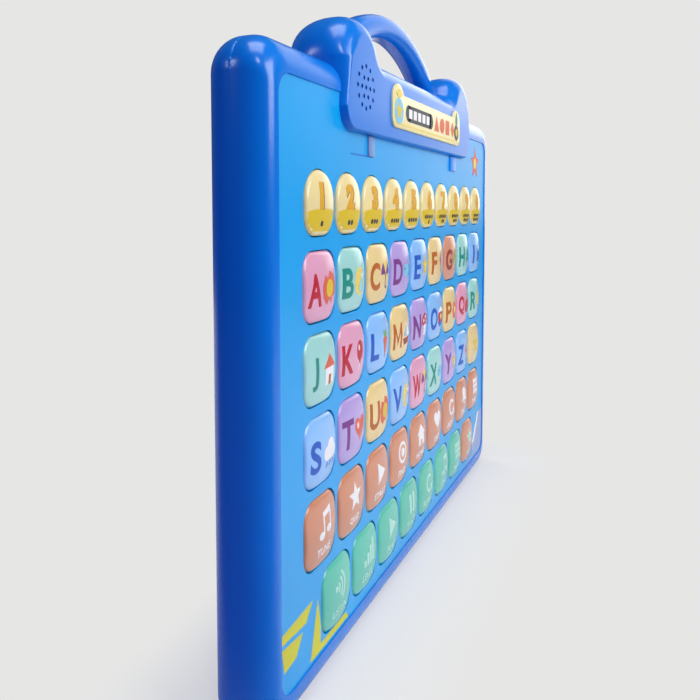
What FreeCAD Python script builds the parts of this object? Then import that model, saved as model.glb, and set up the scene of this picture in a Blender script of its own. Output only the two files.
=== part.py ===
import FreeCAD, Part
import math
import os
import Sketcher

# A child's learning board standing on its long lower edge. X runs to the right, Y from the keyed front
# to the back, Z up. The origin is at the middle of the case, on the flat strip that the board stands on.

SIZES = {
    # case: two halves that meet at the middle of its depth
    "case_width": 320,
    "case_height": 247,
    "case_depth": 27,
    "case_corner": 14,
    "front_round": 8,
    "back_round": 7,
    "base_flat": 1.6,
    "side_wall": 2.6,
    "back_wall": 3,
    "rim_width": 11.5,
    # face plate, let into the front half
    "plate_corner": 7,
    "plate_thick": 2.2,
    "plate_recess": 0.6,
    "plate_fit": 0.15,
    "ledge_width": 3.5,
    # keys: the space round the block of keys, and the spaces between keys
    "key_margin": 13.5,
    "number_margin": 14.5,
    "base_margin": 5.91,
    "head_space": 57.7,
    "key_space": 3,
    "row_space": 4.7,
    "number_space": 2.8,
    "number_row_space": 6.7,
    "key_corner": 7,
    "number_corner": 8,
    "key_rise": 2.4,
    "key_dome": 56,
    "key_wall": 2,
    "key_roof": 2.4,
    "key_gap": 0.4,
    "key_travel": 1.2,
    "ear_reach": 1.5,
    "ear_inset": 2.5,
    "ear_thick": 1.2,
    "number_ear_width": 9,
    # key mat and circuit board
    "mat_thick": 1,
    "mat_margin": 2,
    "circuit_thick": 1.6,
    "circuit_overlap": 1.5,
    "circuit_margin": 2.7,
    "pillar_size": 5,
    "pillar_gap": 0.5,
    "board_screw_size": 1.8,
    "board_screw_head": 4.4,
    "board_screw_length": 5,
    "head_thick": 1.5,
    "screw_fit": 0.1,
    # header block with the two humps, a little left of the case's middle
    "header_width": 196,
    "header_shift": 4,
    "header_drop": 29,
    "header_corner": 10,
    "header_rise": 3.6,
    "header_wall": 2.2,
    "header_round": 6.5,
    "header_seam": -3,
    "header_rear": 11.5,
    "rear_round": 7,
    "hump_radius": 20,
    "hump_lift": 1,
    "saddle_rise": 6,
    "saddle_blend": 8,
    "seam_gap": 0.1,
    # carry handle
    "handle_rise": 40.5,
    "handle_outer": 110,
    "handle_thick": 12,
    "handle_span": 144,
    "handle_front": -0.5,
    "handle_depth": 11.5,
    "handle_round": 4,
    # loudspeaker and its grille
    "grille_offset": 82,
    "grille_drop": 9,
    "grille_hole": 2,
    "grille_ring": 4.4,
    "speaker_size": 23,
    "speaker_drop": 30,
    "speaker_rim": 1.2,
    "speaker_cone": 3,
    "magnet_size": 12,
    "magnet_thick": 4,
    "sound_slot_width": 18,
    "sound_slot_height": 8,
    "sound_slot_drop": 22,
    # plaque and tabs on the front
    "badge_width": 116,
    "badge_height": 18,
    "badge_corner": 5,
    "badge_thick": 0.8,
    "badge_drop": 13,
    "badge_shift": 6.5,
    "badge_disc": 18,
    "badge_disc_offset": 47,
    "badge_disc_drop": 6.5,
    "tab_width": 6,
    "tab_height": 8,
    "tab_thick": 0.8,
    "tab_offset": 67,
    # case screws
    "post_size": 8,
    "post_inset": 9.5,
    "post_margin": 24,
    "screw_size": 2.6,
    "screw_head": 6,
    "screw_head_thick": 2.4,
    "screw_sink": 8,
    "screw_length": 12,
    # battery tray, door and cells
    "tray_width": 67,
    "tray_height": 56,
    "tray_centre": 62,
    "tray_floor": 1.6,
    "cell_size": 10.5,
    "cell_length": 44.5,
    "cell_pitch": 11.2,
    "cell_gap": 0.05,
    "well_width": 57,
    "well_height": 34.5,
    "well_lift": 4.5,
    "door_width": 61,
    "door_height": 48,
    "door_corner": 3,
    "door_thick": 2,
    "door_gap": 0.3,
    "door_screw_inset": 6,
    "door_screw_size": 2.6,
    "door_screw_hole": 4.6,
    "door_screw_head": 5,
    "door_screw_length": 6,
    "contact_thick": 0.5,
    "contact_size": 8,
    "contact_stud": 4,
    # slide switch
    "switch_offset": 92,
    "switch_row": 60,
    "knob_width": 6,
    "knob_height": 4,
    "knob_rise": 1,
    "knob_base_width": 18,
    "knob_base_height": 8,
    "knob_base_thick": 1.4,
    "knob_gap": 0.3,
    "switch_travel": 3,
    "switch_width": 24,
    "switch_height": 10,
    "switch_depth": 6,
    "cradle_thick": 2,
    # pads on the back
    "pad_size": 14,
    "pad_thick": 1.5,
    "pad_side": 38,
    "pad_margin": 42,
    # parts on the circuit board
    "chip_size": 18,
    "chip_thick": 2.5,
    "cap_size": 6,
    "cap_thick": 5,
    "socket_width": 10,
    "socket_height": 6,
    "socket_thick": 4,
    # leads
    "lead_size": 1.4,
    "lead_run": 8,
    "lead_bow": 2,
    "lead_gap": 0.1,
}

ROWS = 6
LETTER_COLUMNS = 9
LOWER_COLUMNS = 8
NUMBER_COLUMNS = 10
LETTER_ROWS = ("abcdefghi", "jklmnopqr", "stuvwxyz*")
NUMBERS = "1234567890"
CELLS = 3
GRILLE_RING_COUNTS = (6, 12)
ARC_SHARE = 0.45

doc = FreeCAD.newDocument("learning_board")
sheet = doc.addObject("Spreadsheet::Sheet", "sizes")
for row, (alias, value) in enumerate(SIZES.items(), start=1):
    sheet.set("A%d" % row, alias)
    sheet.set("B%d" % row, str(value))
    sheet.setAlias("B%d" % row, alias)
doc.recompute()


class Size:
    """A length that knows both its value and the sheet expression that it comes from."""

    def __init__(self, text, value):
        self.text = text
        self.value = value

    def joined(self, sign, other, value):
        return Size("(%s %s %s)" % (self.text, sign, other.text), value)

    def __add__(self, other):
        other = as_size(other)
        return self.joined("+", other, self.value + other.value)

    def __sub__(self, other):
        other = as_size(other)
        return self.joined("-", other, self.value - other.value)

    def __mul__(self, other):
        other = as_size(other)
        return self.joined("*", other, self.value * other.value)

    def __truediv__(self, other):
        other = as_size(other)
        return self.joined("/", other, self.value / other.value)

    def __neg__(self):
        return Size("-(%s)" % self.text, -self.value)


def as_size(number):
    if isinstance(number, Size):
        return number
    return Size(repr(number), number)


class Sizes:
    """The sheet's cells by name."""


d = Sizes()
for alias in SIZES:
    setattr(d, alias, Size("sizes." + alias, sheet.get(alias)))

ZERO = as_size(0)

# Depths, from front to back.
front = -d.case_depth / 2
back = d.case_depth / 2
plate_front = front + d.plate_recess
plate_rear = plate_front + d.plate_thick
ear_front = plate_rear + d.key_gap
key_rear = ear_front + d.ear_thick
mat_front = key_rear + d.key_travel + d.key_gap
circuit_front = mat_front + d.mat_thick
circuit_rear = circuit_front + d.circuit_thick
key_front = plate_front - d.key_rise
header_front = plate_front - d.header_rise
speaker_rear = plate_rear + d.speaker_rim + d.speaker_cone + d.magnet_thick
back_inside = back - d.back_wall

# Heights and widths that several pieces share.
case_middle = d.case_height / 2
form_height = d.case_height + d.base_flat
form_middle = (d.case_height - d.base_flat) / 2
plate_width = d.case_width - d.rim_width * 2
plate_height = d.case_height - d.rim_width * 2
window_width = plate_width - d.ledge_width * 2
window_height = plate_height - d.ledge_width * 2
inside_width = d.case_width - d.side_wall * 2
inside_height = d.case_height - d.side_wall * 2

# Rows of keys: the lowest keys' edges stand off the plate's lower edge, the highest row off the case's top.
key_pitch = (plate_width - d.key_margin * 2) / LETTER_COLUMNS
number_pitch = (plate_width - d.number_margin * 2) / NUMBER_COLUMNS
lower_edge = d.rim_width + d.base_margin
number_row = d.case_height - d.head_space
row_pitch = (number_row - lower_edge + d.row_space / 2) / (ROWS - 0.5)
lower_row = lower_edge + (row_pitch - d.row_space) / 2
mode_row = lower_row + row_pitch
letter_row = number_row - row_pitch
key_width = key_pitch - d.key_space
key_height = row_pitch - d.row_space
number_width = number_pitch - d.number_space
number_height = row_pitch - d.number_row_space
circuit_top = number_row + number_height / 2 + d.circuit_margin

well_centre = d.tray_centre + d.well_lift
tray_front = -(d.cell_size + d.cell_gap + d.tray_floor - back + d.door_thick + d.door_gap * 2)
cell_centre = tray_front + d.tray_floor + d.cell_gap + d.cell_size / 2
door_rear = back - d.door_gap

post_places = []
for side in (-1, 1):
    for height in (d.post_margin, case_middle, d.case_height - d.post_margin):
        post_places.append(((d.case_width / 2 - d.post_inset) * side, height))

pillar_places = []
for column in (-3.5, -0.5, 0.5, 3.5):
    for gap_row in (0.5, 2.5):
        pillar_places.append((key_pitch * column, letter_row - row_pitch * gap_row))


def bind(thing, prop, amount):
    thing.setExpression(prop, as_size(amount).text)


def place(thing, x=ZERO, y=ZERO, z=ZERO):
    bind(thing, "Placement.Base.x", x)
    bind(thing, "Placement.Base.y", y)
    bind(thing, "Placement.Base.z", z)


def new_body(name):
    body = doc.addObject("PartDesign::Body", name)
    body.Label = name
    return body


def front_sketch(body, name, depth, x=ZERO, z=ZERO):
    """A sketch seen from the front: its own origin at (x, depth, z), right is +X and up is +Z."""
    sketch = body.newObject("Sketcher::SketchObject", name)
    upright = next(plane for plane in body.Origin.OriginFeatures if plane.Role == "XZ_Plane")
    sketch.AttachmentSupport = (upright, [""])
    sketch.MapMode = "FlatFace"
    bind(sketch, "AttachmentOffset.Base.x", x)
    bind(sketch, "AttachmentOffset.Base.y", z)
    bind(sketch, "AttachmentOffset.Base.z", -depth)
    return sketch


def dimension(sketch, kind, amount, *ends):
    index = sketch.addConstraint(Sketcher.Constraint(kind, *ends, amount.value))
    sketch.setExpression("Constraints[%d]" % index, amount.text)


def relate(sketch, kind, *ends):
    sketch.addConstraint(Sketcher.Constraint(kind, *ends))


def line(x0, z0, x1, z1):
    return Part.LineSegment(FreeCAD.Vector(x0, z0, 0), FreeCAD.Vector(x1, z1, 0))


def arc(x, z, radius, start, stop):
    circle = Part.Circle(FreeCAD.Vector(x, z, 0), FreeCAD.Vector(0, 0, 1), radius)
    return Part.ArcOfCircle(circle, math.radians(start), math.radians(stop))


def smooth_loop(sketch, pieces, clockwise=()):
    """Add lines and arcs that follow each other smoothly round a closed outline."""
    for piece in pieces:
        sketch.addGeometry(piece, False)
    count = len(pieces)
    for index in range(count):
        following = (index + 1) % count
        leaving = 1 if index in clockwise else 2
        entering = 2 if following in clockwise else 1
        relate(sketch, "Tangent", index, leaving, following, entering)


def rounded_rectangle(sketch, width, height, corner):
    w = width.value / 2
    h = height.value / 2
    r = corner.value
    smooth_loop(sketch, [
        line(-w + r, -h, w - r, -h),
        arc(w - r, -h + r, r, 270, 360),
        line(w, -h + r, w, h - r),
        arc(w - r, h - r, r, 0, 90),
        line(w - r, h, -w + r, h),
        arc(-w + r, h - r, r, 90, 180),
        line(-w, h - r, -w, -h + r),
        arc(-w + r, -h + r, r, 180, 270),
    ])
    for level in (0, 4):
        relate(sketch, "Horizontal", level)
    for upright in (2, 6):
        relate(sketch, "Vertical", upright)
    for other in (3, 5, 7):
        relate(sketch, "Equal", 1, other)
    relate(sketch, "Symmetric", 1, 3, 5, 3, -1, 1)
    dimension(sketch, "Radius", corner, 1)
    dimension(sketch, "DistanceX", width, 6, 1, 2, 1)
    dimension(sketch, "DistanceY", height, 0, 1, 4, 1)


def rectangle(sketch, width, height):
    w = width.value / 2
    h = height.value / 2
    corners = [(-w, -h), (w, -h), (w, h), (-w, h)]
    for index in range(4):
        sketch.addGeometry(line(*corners[index], *corners[(index + 1) % 4]), False)
    for index in range(4):
        relate(sketch, "Coincident", index, 2, (index + 1) % 4, 1)
        relate(sketch, "Horizontal" if index % 2 == 0 else "Vertical", index)
    relate(sketch, "Symmetric", 0, 1, 2, 1, -1, 1)
    dimension(sketch, "DistanceX", width, 0, 1, 0, 2)
    dimension(sketch, "DistanceY", height, 1, 1, 1, 2)


def tombstone(sketch, width, height, corner):
    """The number key's outline: a round top on upright sides, and rounded lower corners."""
    w = width.value / 2
    h = height.value / 2
    r = corner.value
    smooth_loop(sketch, [
        line(-w + r, -h, w - r, -h),
        arc(w - r, -h + r, r, 270, 360),
        line(w, -h + r, w, h - w),
        arc(0, h - w, w, 0, 180),
        line(-w, h - w, -w, -h + r),
        arc(-w + r, -h + r, r, 180, 270),
    ])
    relate(sketch, "Horizontal", 0)
    relate(sketch, "Vertical", 2)
    relate(sketch, "Vertical", 4)
    relate(sketch, "Equal", 1, 5)
    relate(sketch, "PointOnObject", 3, 3, -2)
    dimension(sketch, "Radius", corner, 1)
    dimension(sketch, "Radius", width / 2, 3)
    dimension(sketch, "DistanceY", height / 2, 0, 1, -1, 1)
    dimension(sketch, "DistanceY", height - width / 2, 0, 1, 3, 3)


def header_outline(sketch, inset):
    """Two humps joined by a lower saddle, above a straight lower edge with rounded corners."""
    half = d.header_width / 2 - inset
    base = d.case_height - d.header_drop + inset
    corner = d.header_corner - inset
    hump = d.hump_radius - inset
    hump_level = d.case_height + d.hump_lift
    saddle = d.case_height + d.saddle_rise - inset
    blend = d.saddle_blend + inset
    hump_x = half.value - hump.value
    rise = saddle.value + blend.value - hump_level.value
    reach = math.sqrt((hump.value + blend.value) ** 2 - rise ** 2)
    blend_x = hump_x - reach
    blend_z = saddle.value + blend.value
    turn = math.degrees(math.atan2(rise, -reach))
    w, b, c = half.value, base.value, corner.value
    smooth_loop(sketch, [
        line(-w + c, b, w - c, b),
        arc(w - c, b + c, c, 270, 360),
        line(w, b + c, w, hump_level.value),
        arc(hump_x, hump_level.value, hump.value, 0, turn),
        arc(blend_x, blend_z, blend.value, 270, turn + 180),
        line(blend_x, saddle.value, -blend_x, saddle.value),
        arc(-blend_x, blend_z, blend.value, 360 - turn, 270),
        arc(-hump_x, hump_level.value, hump.value, 180 - turn, 180),
        line(-w, hump_level.value, -w, b + c),
        arc(-w + c, b + c, c, 180, 270),
    ], clockwise=(4, 6))
    for level in (0, 5):
        relate(sketch, "Horizontal", level)
    for upright in (2, 8):
        relate(sketch, "Vertical", upright)
    for first, second in ((1, 9), (3, 7), (4, 6)):
        relate(sketch, "Equal", first, second)
    dimension(sketch, "Radius", corner, 1)
    dimension(sketch, "Radius", hump, 3)
    dimension(sketch, "Radius", blend, 4)
    dimension(sketch, "DistanceX", half, -1, 1, 2, 1)
    dimension(sketch, "DistanceX", half, 8, 1, -1, 1)
    dimension(sketch, "DistanceY", base, -1, 1, 0, 1)
    dimension(sketch, "DistanceY", saddle, -1, 1, 5, 1)
    dimension(sketch, "DistanceY", hump_level, -1, 1, 3, 3)
    dimension(sketch, "DistanceY", hump_level, -1, 1, 7, 3)


def circles(sketch, diameter, centres):
    for index, (x, z) in enumerate(centres):
        spot = FreeCAD.Vector(as_size(x).value, as_size(z).value, 0)
        sketch.addGeometry(Part.Circle(spot, FreeCAD.Vector(0, 0, 1), diameter.value / 2), False)
        dimension(sketch, "Diameter", diameter, index)
        for kind, amount, axis in (("DistanceX", x, -2), ("DistanceY", z, -1)):
            if as_size(amount).value == 0:
                relate(sketch, "PointOnObject", index, 3, axis)
            else:
                dimension(sketch, kind, amount, -1, 1, index, 3)


def pad(body, sketch, length):
    """Raise a sketch towards the front."""
    feature = body.newObject("PartDesign::Pad", sketch.Name + "_pad")
    feature.Profile = sketch
    bind(feature, "Length", length)
    doc.recompute()
    return feature


def cut(body, sketch, depth, towards_front=False):
    """Sink a sketch into its body, towards the back unless said otherwise."""
    before = body.Shape.Volume
    feature = body.newObject("PartDesign::Pocket", sketch.Name + "_cut")
    feature.Profile = sketch
    feature.Reversed = towards_front
    bind(feature, "Length", depth)
    doc.recompute()
    if not body.Shape.Volume < before - 1e-6:
        raise ValueError("%s removes nothing from %s" % (sketch.Name, body.Label))
    return feature


def round_rim(body, depth, radius, among=None):
    """Round the edges that lie flat at one depth; among picks some of them by their middle."""
    base = body.Tip
    names = []
    for index, edge in enumerate(base.Shape.Edges, start=1):
        box = edge.BoundBox
        flat = abs(box.YMin - depth.value) < 1e-4 and abs(box.YMax - depth.value) < 1e-4
        if flat and (among is None or among(edge)):
            names.append("Edge%d" % index)
    fillet = body.newObject("PartDesign::Fillet", body.Name + "_round")
    fillet.Base = (base, names)
    bind(fillet, "Radius", radius)
    doc.recompute()
    return fillet


def repeat_round(body, feature, sketch, count):
    """Repeat a feature round its sketch's own origin."""
    pattern = body.newObject("PartDesign::PolarPattern", feature.Name + "_ring")
    pattern.Originals = [feature]
    pattern.Axis = (sketch, ["N_Axis"])
    pattern.Angle = 360
    pattern.Occurrences = count
    body.Tip = pattern
    doc.recompute()
    return pattern


def box(name, width, depth, height, x, y, z):
    """A block, placed by the middle of its width and height and by its front."""
    block = doc.addObject("Part::Box", name)
    bind(block, "Length", width)
    bind(block, "Width", depth)
    bind(block, "Height", height)
    place(block, x - width / 2, y, z - height / 2)
    return block


def rod(name, diameter, length, x, y, z):
    """A cylinder from the depth y towards the back."""
    cylinder = doc.addObject("Part::Cylinder", name)
    bind(cylinder, "Radius", diameter / 2)
    bind(cylinder, "Height", length)
    cylinder.Placement = FreeCAD.Placement(FreeCAD.Vector(), FreeCAD.Rotation(FreeCAD.Vector(1, 0, 0), -90))
    place(cylinder, x, y, z)
    return cylinder


def joined(name, pieces):
    whole = doc.addObject("Part::MultiFuse", name)
    whole.Shapes = pieces
    return whole


def group(name, pieces):
    whole = doc.addObject("Part::Compound", name)
    whole.Links = pieces
    return whole


def copy_at(name, master, x=ZERO, y=ZERO, z=ZERO):
    twin = group(name, [master])
    place(twin, x, y, z)
    return twin


parts = {}


def keep(name, piece):
    piece.Label = name
    parts[name] = piece


def flatten_base(body, name, depth, length):
    """Cut off the rounded form flat, where it would run on below the floor, so that the board stands."""
    strip = front_sketch(body, name, depth, z=-d.base_flat)
    rectangle(strip, d.case_width, d.base_flat * 2)
    cut(body, strip, length)


# Rear half of the case, with the battery tray, the screw posts and the cradle of the switch.
def rear_shell():
    body = new_body("rear_shell")
    outline = front_sketch(body, "rear_outline", back, z=form_middle)
    rounded_rectangle(outline, d.case_width, form_height, d.case_corner)
    pad(body, outline, back)
    hollow = front_sketch(body, "rear_hollow", ZERO, z=case_middle)
    rounded_rectangle(hollow, inside_width, inside_height, d.case_corner - d.side_wall)
    cut(body, hollow, back_inside)
    round_rim(body, back_inside, d.back_round - d.side_wall)
    round_rim(body, back, d.back_round)
    flatten_base(body, "rear_base", ZERO, back)
    tray = front_sketch(body, "tray_block", back_inside + d.back_wall / 2, z=d.tray_centre)
    rectangle(tray, d.tray_width, d.tray_height)
    pad(body, tray, back_inside + d.back_wall / 2 - tray_front)
    well = front_sketch(body, "tray_well", back, z=well_centre)
    rectangle(well, d.well_width, d.well_height)
    cut(body, well, back - tray_front - d.tray_floor, towards_front=True)
    recess = front_sketch(body, "door_recess", back, z=d.tray_centre)
    rounded_rectangle(recess, d.door_width + d.door_gap * 2, d.door_height + d.door_gap * 2,
                      d.door_corner + d.door_gap)
    cut(body, recess, d.door_thick + d.door_gap * 2, towards_front=True)
    door_screw = front_sketch(body, "door_screw_bore", back, z=door_screw_z())
    circles(door_screw, d.door_screw_hole, [(0, 0)])
    cut(body, door_screw, d.door_thick + d.door_screw_length, towards_front=True)
    posts = front_sketch(body, "rear_posts", back_inside + d.back_wall / 2)
    circles(posts, d.post_size, post_places)
    pad(body, posts, back_inside + d.back_wall / 2)
    sinks = front_sketch(body, "screw_sinks", back)
    circles(sinks, d.screw_head + d.screw_fit * 4, post_places)
    cut(body, sinks, d.screw_sink, towards_front=True)
    bores = front_sketch(body, "screw_bores", back)
    circles(bores, d.screw_size + d.screw_fit * 4, post_places)
    cut(body, bores, back, towards_front=True)
    slot = front_sketch(body, "switch_slot", back, d.switch_offset, d.switch_row)
    rectangle(slot, d.knob_width + (d.switch_travel + d.knob_gap) * 2, d.knob_height + d.knob_gap * 2)
    cut(body, slot, d.back_wall, towards_front=True)
    for side in (-1, 1):
        cradle_x = d.switch_offset + (d.switch_width + d.cradle_thick) * (side / 2)
        cradle = front_sketch(body, "cradle", back_inside + d.back_wall / 2, cradle_x, d.switch_row)
        rectangle(cradle, d.cradle_thick, d.switch_height)
        pad(body, cradle, back_inside + d.back_wall / 2 - switch_front())
    keep("rear_shell", body)


def door_screw_z():
    return d.tray_centre - d.door_height / 2 + d.door_screw_inset


def switch_front():
    return back_inside - d.knob_gap * 2 - d.knob_base_thick - d.switch_depth


# Front half of the case: the rounded rim, the ledge that the face plate lies on, and the screw bosses.
def front_frame():
    body = new_body("front_frame")
    outline = front_sketch(body, "front_outline", ZERO, z=form_middle)
    rounded_rectangle(outline, d.case_width, form_height, d.case_corner)
    pad(body, outline, -front)
    round_rim(body, front, d.front_round)
    flatten_base(body, "front_base", front, -front)
    seat = front_sketch(body, "plate_seat", front, z=case_middle)
    rounded_rectangle(seat, plate_width + d.plate_fit * 2, plate_height + d.plate_fit * 2,
                      d.plate_corner + d.plate_fit)
    cut(body, seat, d.plate_recess + d.plate_thick)
    window = front_sketch(body, "front_window", front, z=case_middle)
    rounded_rectangle(window, window_width, window_height, d.plate_corner)
    cut(body, window, -front)
    hollow = front_sketch(body, "front_hollow", ZERO, z=case_middle)
    rounded_rectangle(hollow, inside_width, inside_height, d.case_corner - d.side_wall)
    cut(body, hollow, -circuit_front, towards_front=True)
    bosses = front_sketch(body, "front_bosses", ZERO)
    circles(bosses, d.post_size, post_places)
    pad(body, bosses, -circuit_front + d.plate_fit)
    pilots = front_sketch(body, "front_pilots", ZERO)
    circles(pilots, d.screw_size + d.screw_fit * 2, post_places)
    cut(body, pilots, d.screw_length + d.screw_sink - back, towards_front=True)
    keep("front_frame", body)


def key_rows():
    """Each row of keys: its kind, height, reach to the first key's middle, pitch and count."""
    wide = key_pitch * ((LETTER_COLUMNS - 1) / 2)
    number_wide = number_pitch * ((NUMBER_COLUMNS - 1) / 2)
    lower_wide = key_pitch * ((LOWER_COLUMNS - 1) / 2)
    rows = [("number", number_row, number_wide, number_pitch, NUMBER_COLUMNS)]
    for index in range(len(LETTER_ROWS)):
        rows.append(("letter", letter_row - row_pitch * index, wide, key_pitch, LETTER_COLUMNS))
    rows.append(("mode", mode_row, wide, key_pitch, LETTER_COLUMNS))
    rows.append(("lower", lower_row, lower_wide, key_pitch, LOWER_COLUMNS))
    return rows


def key_outline(kind, sketch, grow):
    if kind == "number":
        tombstone(sketch, number_width + grow * 2, number_height + grow * 2, d.number_corner + grow)
    else:
        rounded_rectangle(sketch, key_width + grow * 2, key_height + grow * 2, d.key_corner + grow)


# Light blue plate with a hole for each key, a sound slot under the header and pillars for the board.
def face_plate():
    body = new_body("plate_blank")
    outline = front_sketch(body, "plate_outline", plate_rear, z=case_middle)
    rounded_rectangle(outline, plate_width, plate_height, d.plate_corner)
    pad(body, outline, d.plate_thick)
    slot_z = d.case_height - d.sound_slot_drop
    slot = front_sketch(body, "sound_slot", plate_front, -d.grille_offset, slot_z)
    rectangle(slot, d.sound_slot_width, d.sound_slot_height)
    cut(body, slot, d.plate_thick)
    pillars = front_sketch(body, "plate_pillars", circuit_front)
    circles(pillars, d.pillar_size, pillar_places)
    pad(body, pillars, circuit_front - plate_rear + d.plate_thick / 4)
    pilots = front_sketch(body, "pillar_pilots", circuit_front)
    circles(pilots, d.board_screw_size + d.screw_fit, pillar_places)
    cut(body, pilots, d.board_screw_length - d.circuit_thick + d.screw_fit, towards_front=True)
    holes = {kind: key_hole(kind) for kind in ("number", "letter")}
    openings = []
    for kind, level, reach, pitch, count in key_rows():
        for index in range(count):
            hole = holes["number" if kind == "number" else "letter"]
            opening = copy_at(kind + "_opening", hole, pitch * index - reach, ZERO, level)
            openings.append(opening)
    plate = doc.addObject("Part::Cut", "face_plate")
    plate.Base = body
    plate.Tool = group("key_openings", openings)
    keep("face_plate", plate)


def key_hole(kind):
    """The block that one key's hole takes out of the plate."""
    body = new_body(kind + "_key_hole")
    outline = front_sketch(body, kind + "_hole", plate_rear + d.key_gap)
    key_outline(kind, outline, d.key_gap)
    pad(body, outline, d.plate_thick + d.key_gap * 2)
    return body


# One key: a domed cap that stands through the plate, with an ear above and below that stops behind it.
def key_master(kind):
    body = new_body(kind + "_key_block")
    cap = front_sketch(body, kind + "_cap", key_rear)
    key_outline(kind, cap, ZERO)
    pad(body, cap, key_rear - key_front)
    ear = front_sketch(body, kind + "_ear", key_rear)
    if kind == "number":
        rectangle(ear, d.number_ear_width, number_height + d.ear_reach * 2)
    else:
        rectangle(ear, key_width - d.ear_inset * 2, key_height + d.ear_reach * 2)
    pad(body, ear, d.ear_thick)
    hollow = front_sketch(body, kind + "_hollow", key_rear)
    key_outline(kind, hollow, -d.key_wall)
    cut(body, hollow, key_rear - key_front - d.key_roof, towards_front=True)
    dome = doc.addObject("Part::Sphere", kind + "_dome")
    bind(dome, "Radius", d.key_dome)
    place(dome, ZERO, key_front + d.key_dome, ZERO)
    domed = doc.addObject("Part::Common", kind + "_key_form")
    domed.Base = body
    domed.Tool = dome
    return domed


def keys():
    masters = {"number": key_master("number"), "letter": key_master("letter")}
    names = [["key_" + digit for digit in NUMBERS]]
    for letters in LETTER_ROWS:
        names.append(["key_" + letter.replace("*", "star") for letter in letters])
    for (kind, level, reach, pitch, count), row_names in zip(key_rows(), names):
        for index, name in enumerate(row_names):
            keep(name, copy_at(name, masters[kind], pitch * index - reach, ZERO, level))
    for kind, level, reach, pitch, count in key_rows()[len(names):]:
        row = []
        for index in range(count):
            name = "%s_key_%d" % (kind, index + 1)
            row.append(copy_at(name, masters["letter"], pitch * index - reach, ZERO, level))
        keep(kind + "_keys", group(kind + "_keys", row))


# Rubber mat under the keys, and the circuit board that it lies on.
def key_mat():
    body = new_body("key_mat")
    top = circuit_top - d.mat_margin
    bottom = case_middle - window_height / 2 + d.mat_margin
    outline = front_sketch(body, "mat_outline", circuit_front, z=(top + bottom) / 2)
    rounded_rectangle(outline, window_width - d.mat_margin, top - bottom, d.plate_corner)
    pad(body, outline, d.mat_thick)
    holes = front_sketch(body, "mat_holes", mat_front)
    circles(holes, d.pillar_size + d.pillar_gap * 2, pillar_places)
    cut(body, holes, d.mat_thick)
    keep("key_mat", body)


def circuit_board():
    body = new_body("circuit_board")
    bottom = case_middle - window_height / 2 - d.circuit_overlap
    outline = front_sketch(body, "circuit_outline", circuit_rear, z=(circuit_top + bottom) / 2)
    rectangle(outline, window_width + d.circuit_overlap * 2, circuit_top - bottom)
    pad(body, outline, d.circuit_thick)
    holes = front_sketch(body, "circuit_holes", circuit_front)
    circles(holes, d.board_screw_size + d.screw_fit * 2, pillar_places)
    cut(body, holes, d.circuit_thick)
    keep("circuit_board", body)


def circuit_parts():
    chip = rod("chip", d.chip_size, d.chip_thick, key_pitch * 2, circuit_rear, letter_row)
    pieces = [chip]
    for index in (-1, 1):
        cap_x = key_pitch * 2 + (d.chip_size + d.cap_size) * index
        pieces.append(rod("capacitor", d.cap_size, d.cap_thick, cap_x, circuit_rear, letter_row))
    for socket_x in (-key_pitch * 2, -key_pitch, key_pitch * 3):
        pieces.append(box("socket", d.socket_width, d.socket_thick, d.socket_height,
                          socket_x, circuit_rear, letter_row))
    keep("circuit_parts", group("circuit_parts", pieces))


def screw_master(name, head, head_thick, size, length):
    """A pan head screw with its head towards the back, its seat at depth nought."""
    return joined(name, [rod(name + "_head", head, head_thick, ZERO, ZERO, ZERO),
                         rod(name + "_shank", size, length, ZERO, -length, ZERO)])


def screws():
    small = screw_master("board_screw", d.board_screw_head, d.head_thick, d.board_screw_size,
                         d.board_screw_length)
    row = [copy_at("board_screw_at", small, x, circuit_rear, z) for x, z in pillar_places]
    keep("board_screws", group("board_screws", row))
    large = screw_master("case_screw", d.screw_head, d.screw_head_thick, d.screw_size, d.screw_length)
    row = [copy_at("case_screw_at", large, x, back - d.screw_sink, z) for x, z in post_places]
    keep("case_screws", group("case_screws", row))


# The outer form of the front rim with its plate seat, grown by the seam: the header is cut to sit over it.
def rim_form():
    body = new_body("rim_form")
    outline = front_sketch(body, "rim_outline", back, z=case_middle)
    rounded_rectangle(outline, d.case_width + d.seam_gap * 2, d.case_height + d.seam_gap * 2,
                      d.case_corner + d.seam_gap)
    pad(body, outline, d.case_depth + d.seam_gap)
    round_rim(body, front - d.seam_gap, d.front_round + d.seam_gap)
    round_rim(body, back, d.back_round)
    seat = front_sketch(body, "rim_seat", front - d.seam_gap, z=case_middle)
    rounded_rectangle(seat, plate_width, plate_height, d.plate_corner)
    cut(body, seat, d.plate_recess)
    return body


def header_shell(name, depth, length, rounded, radius, hollow_from, hollow_depth, towards_front):
    """A block of the header's outline, rounded at one end and hollowed from the other."""
    body = new_body(name)
    outline = front_sketch(body, name + "_outline", depth, -d.header_shift)
    header_outline(outline, ZERO)
    pad(body, outline, length)
    round_rim(body, rounded, radius)
    hollow = front_sketch(body, name + "_hollow", hollow_from, -d.header_shift)
    header_outline(hollow, d.header_wall)
    cut(body, hollow, hollow_depth, towards_front)
    return body


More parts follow.
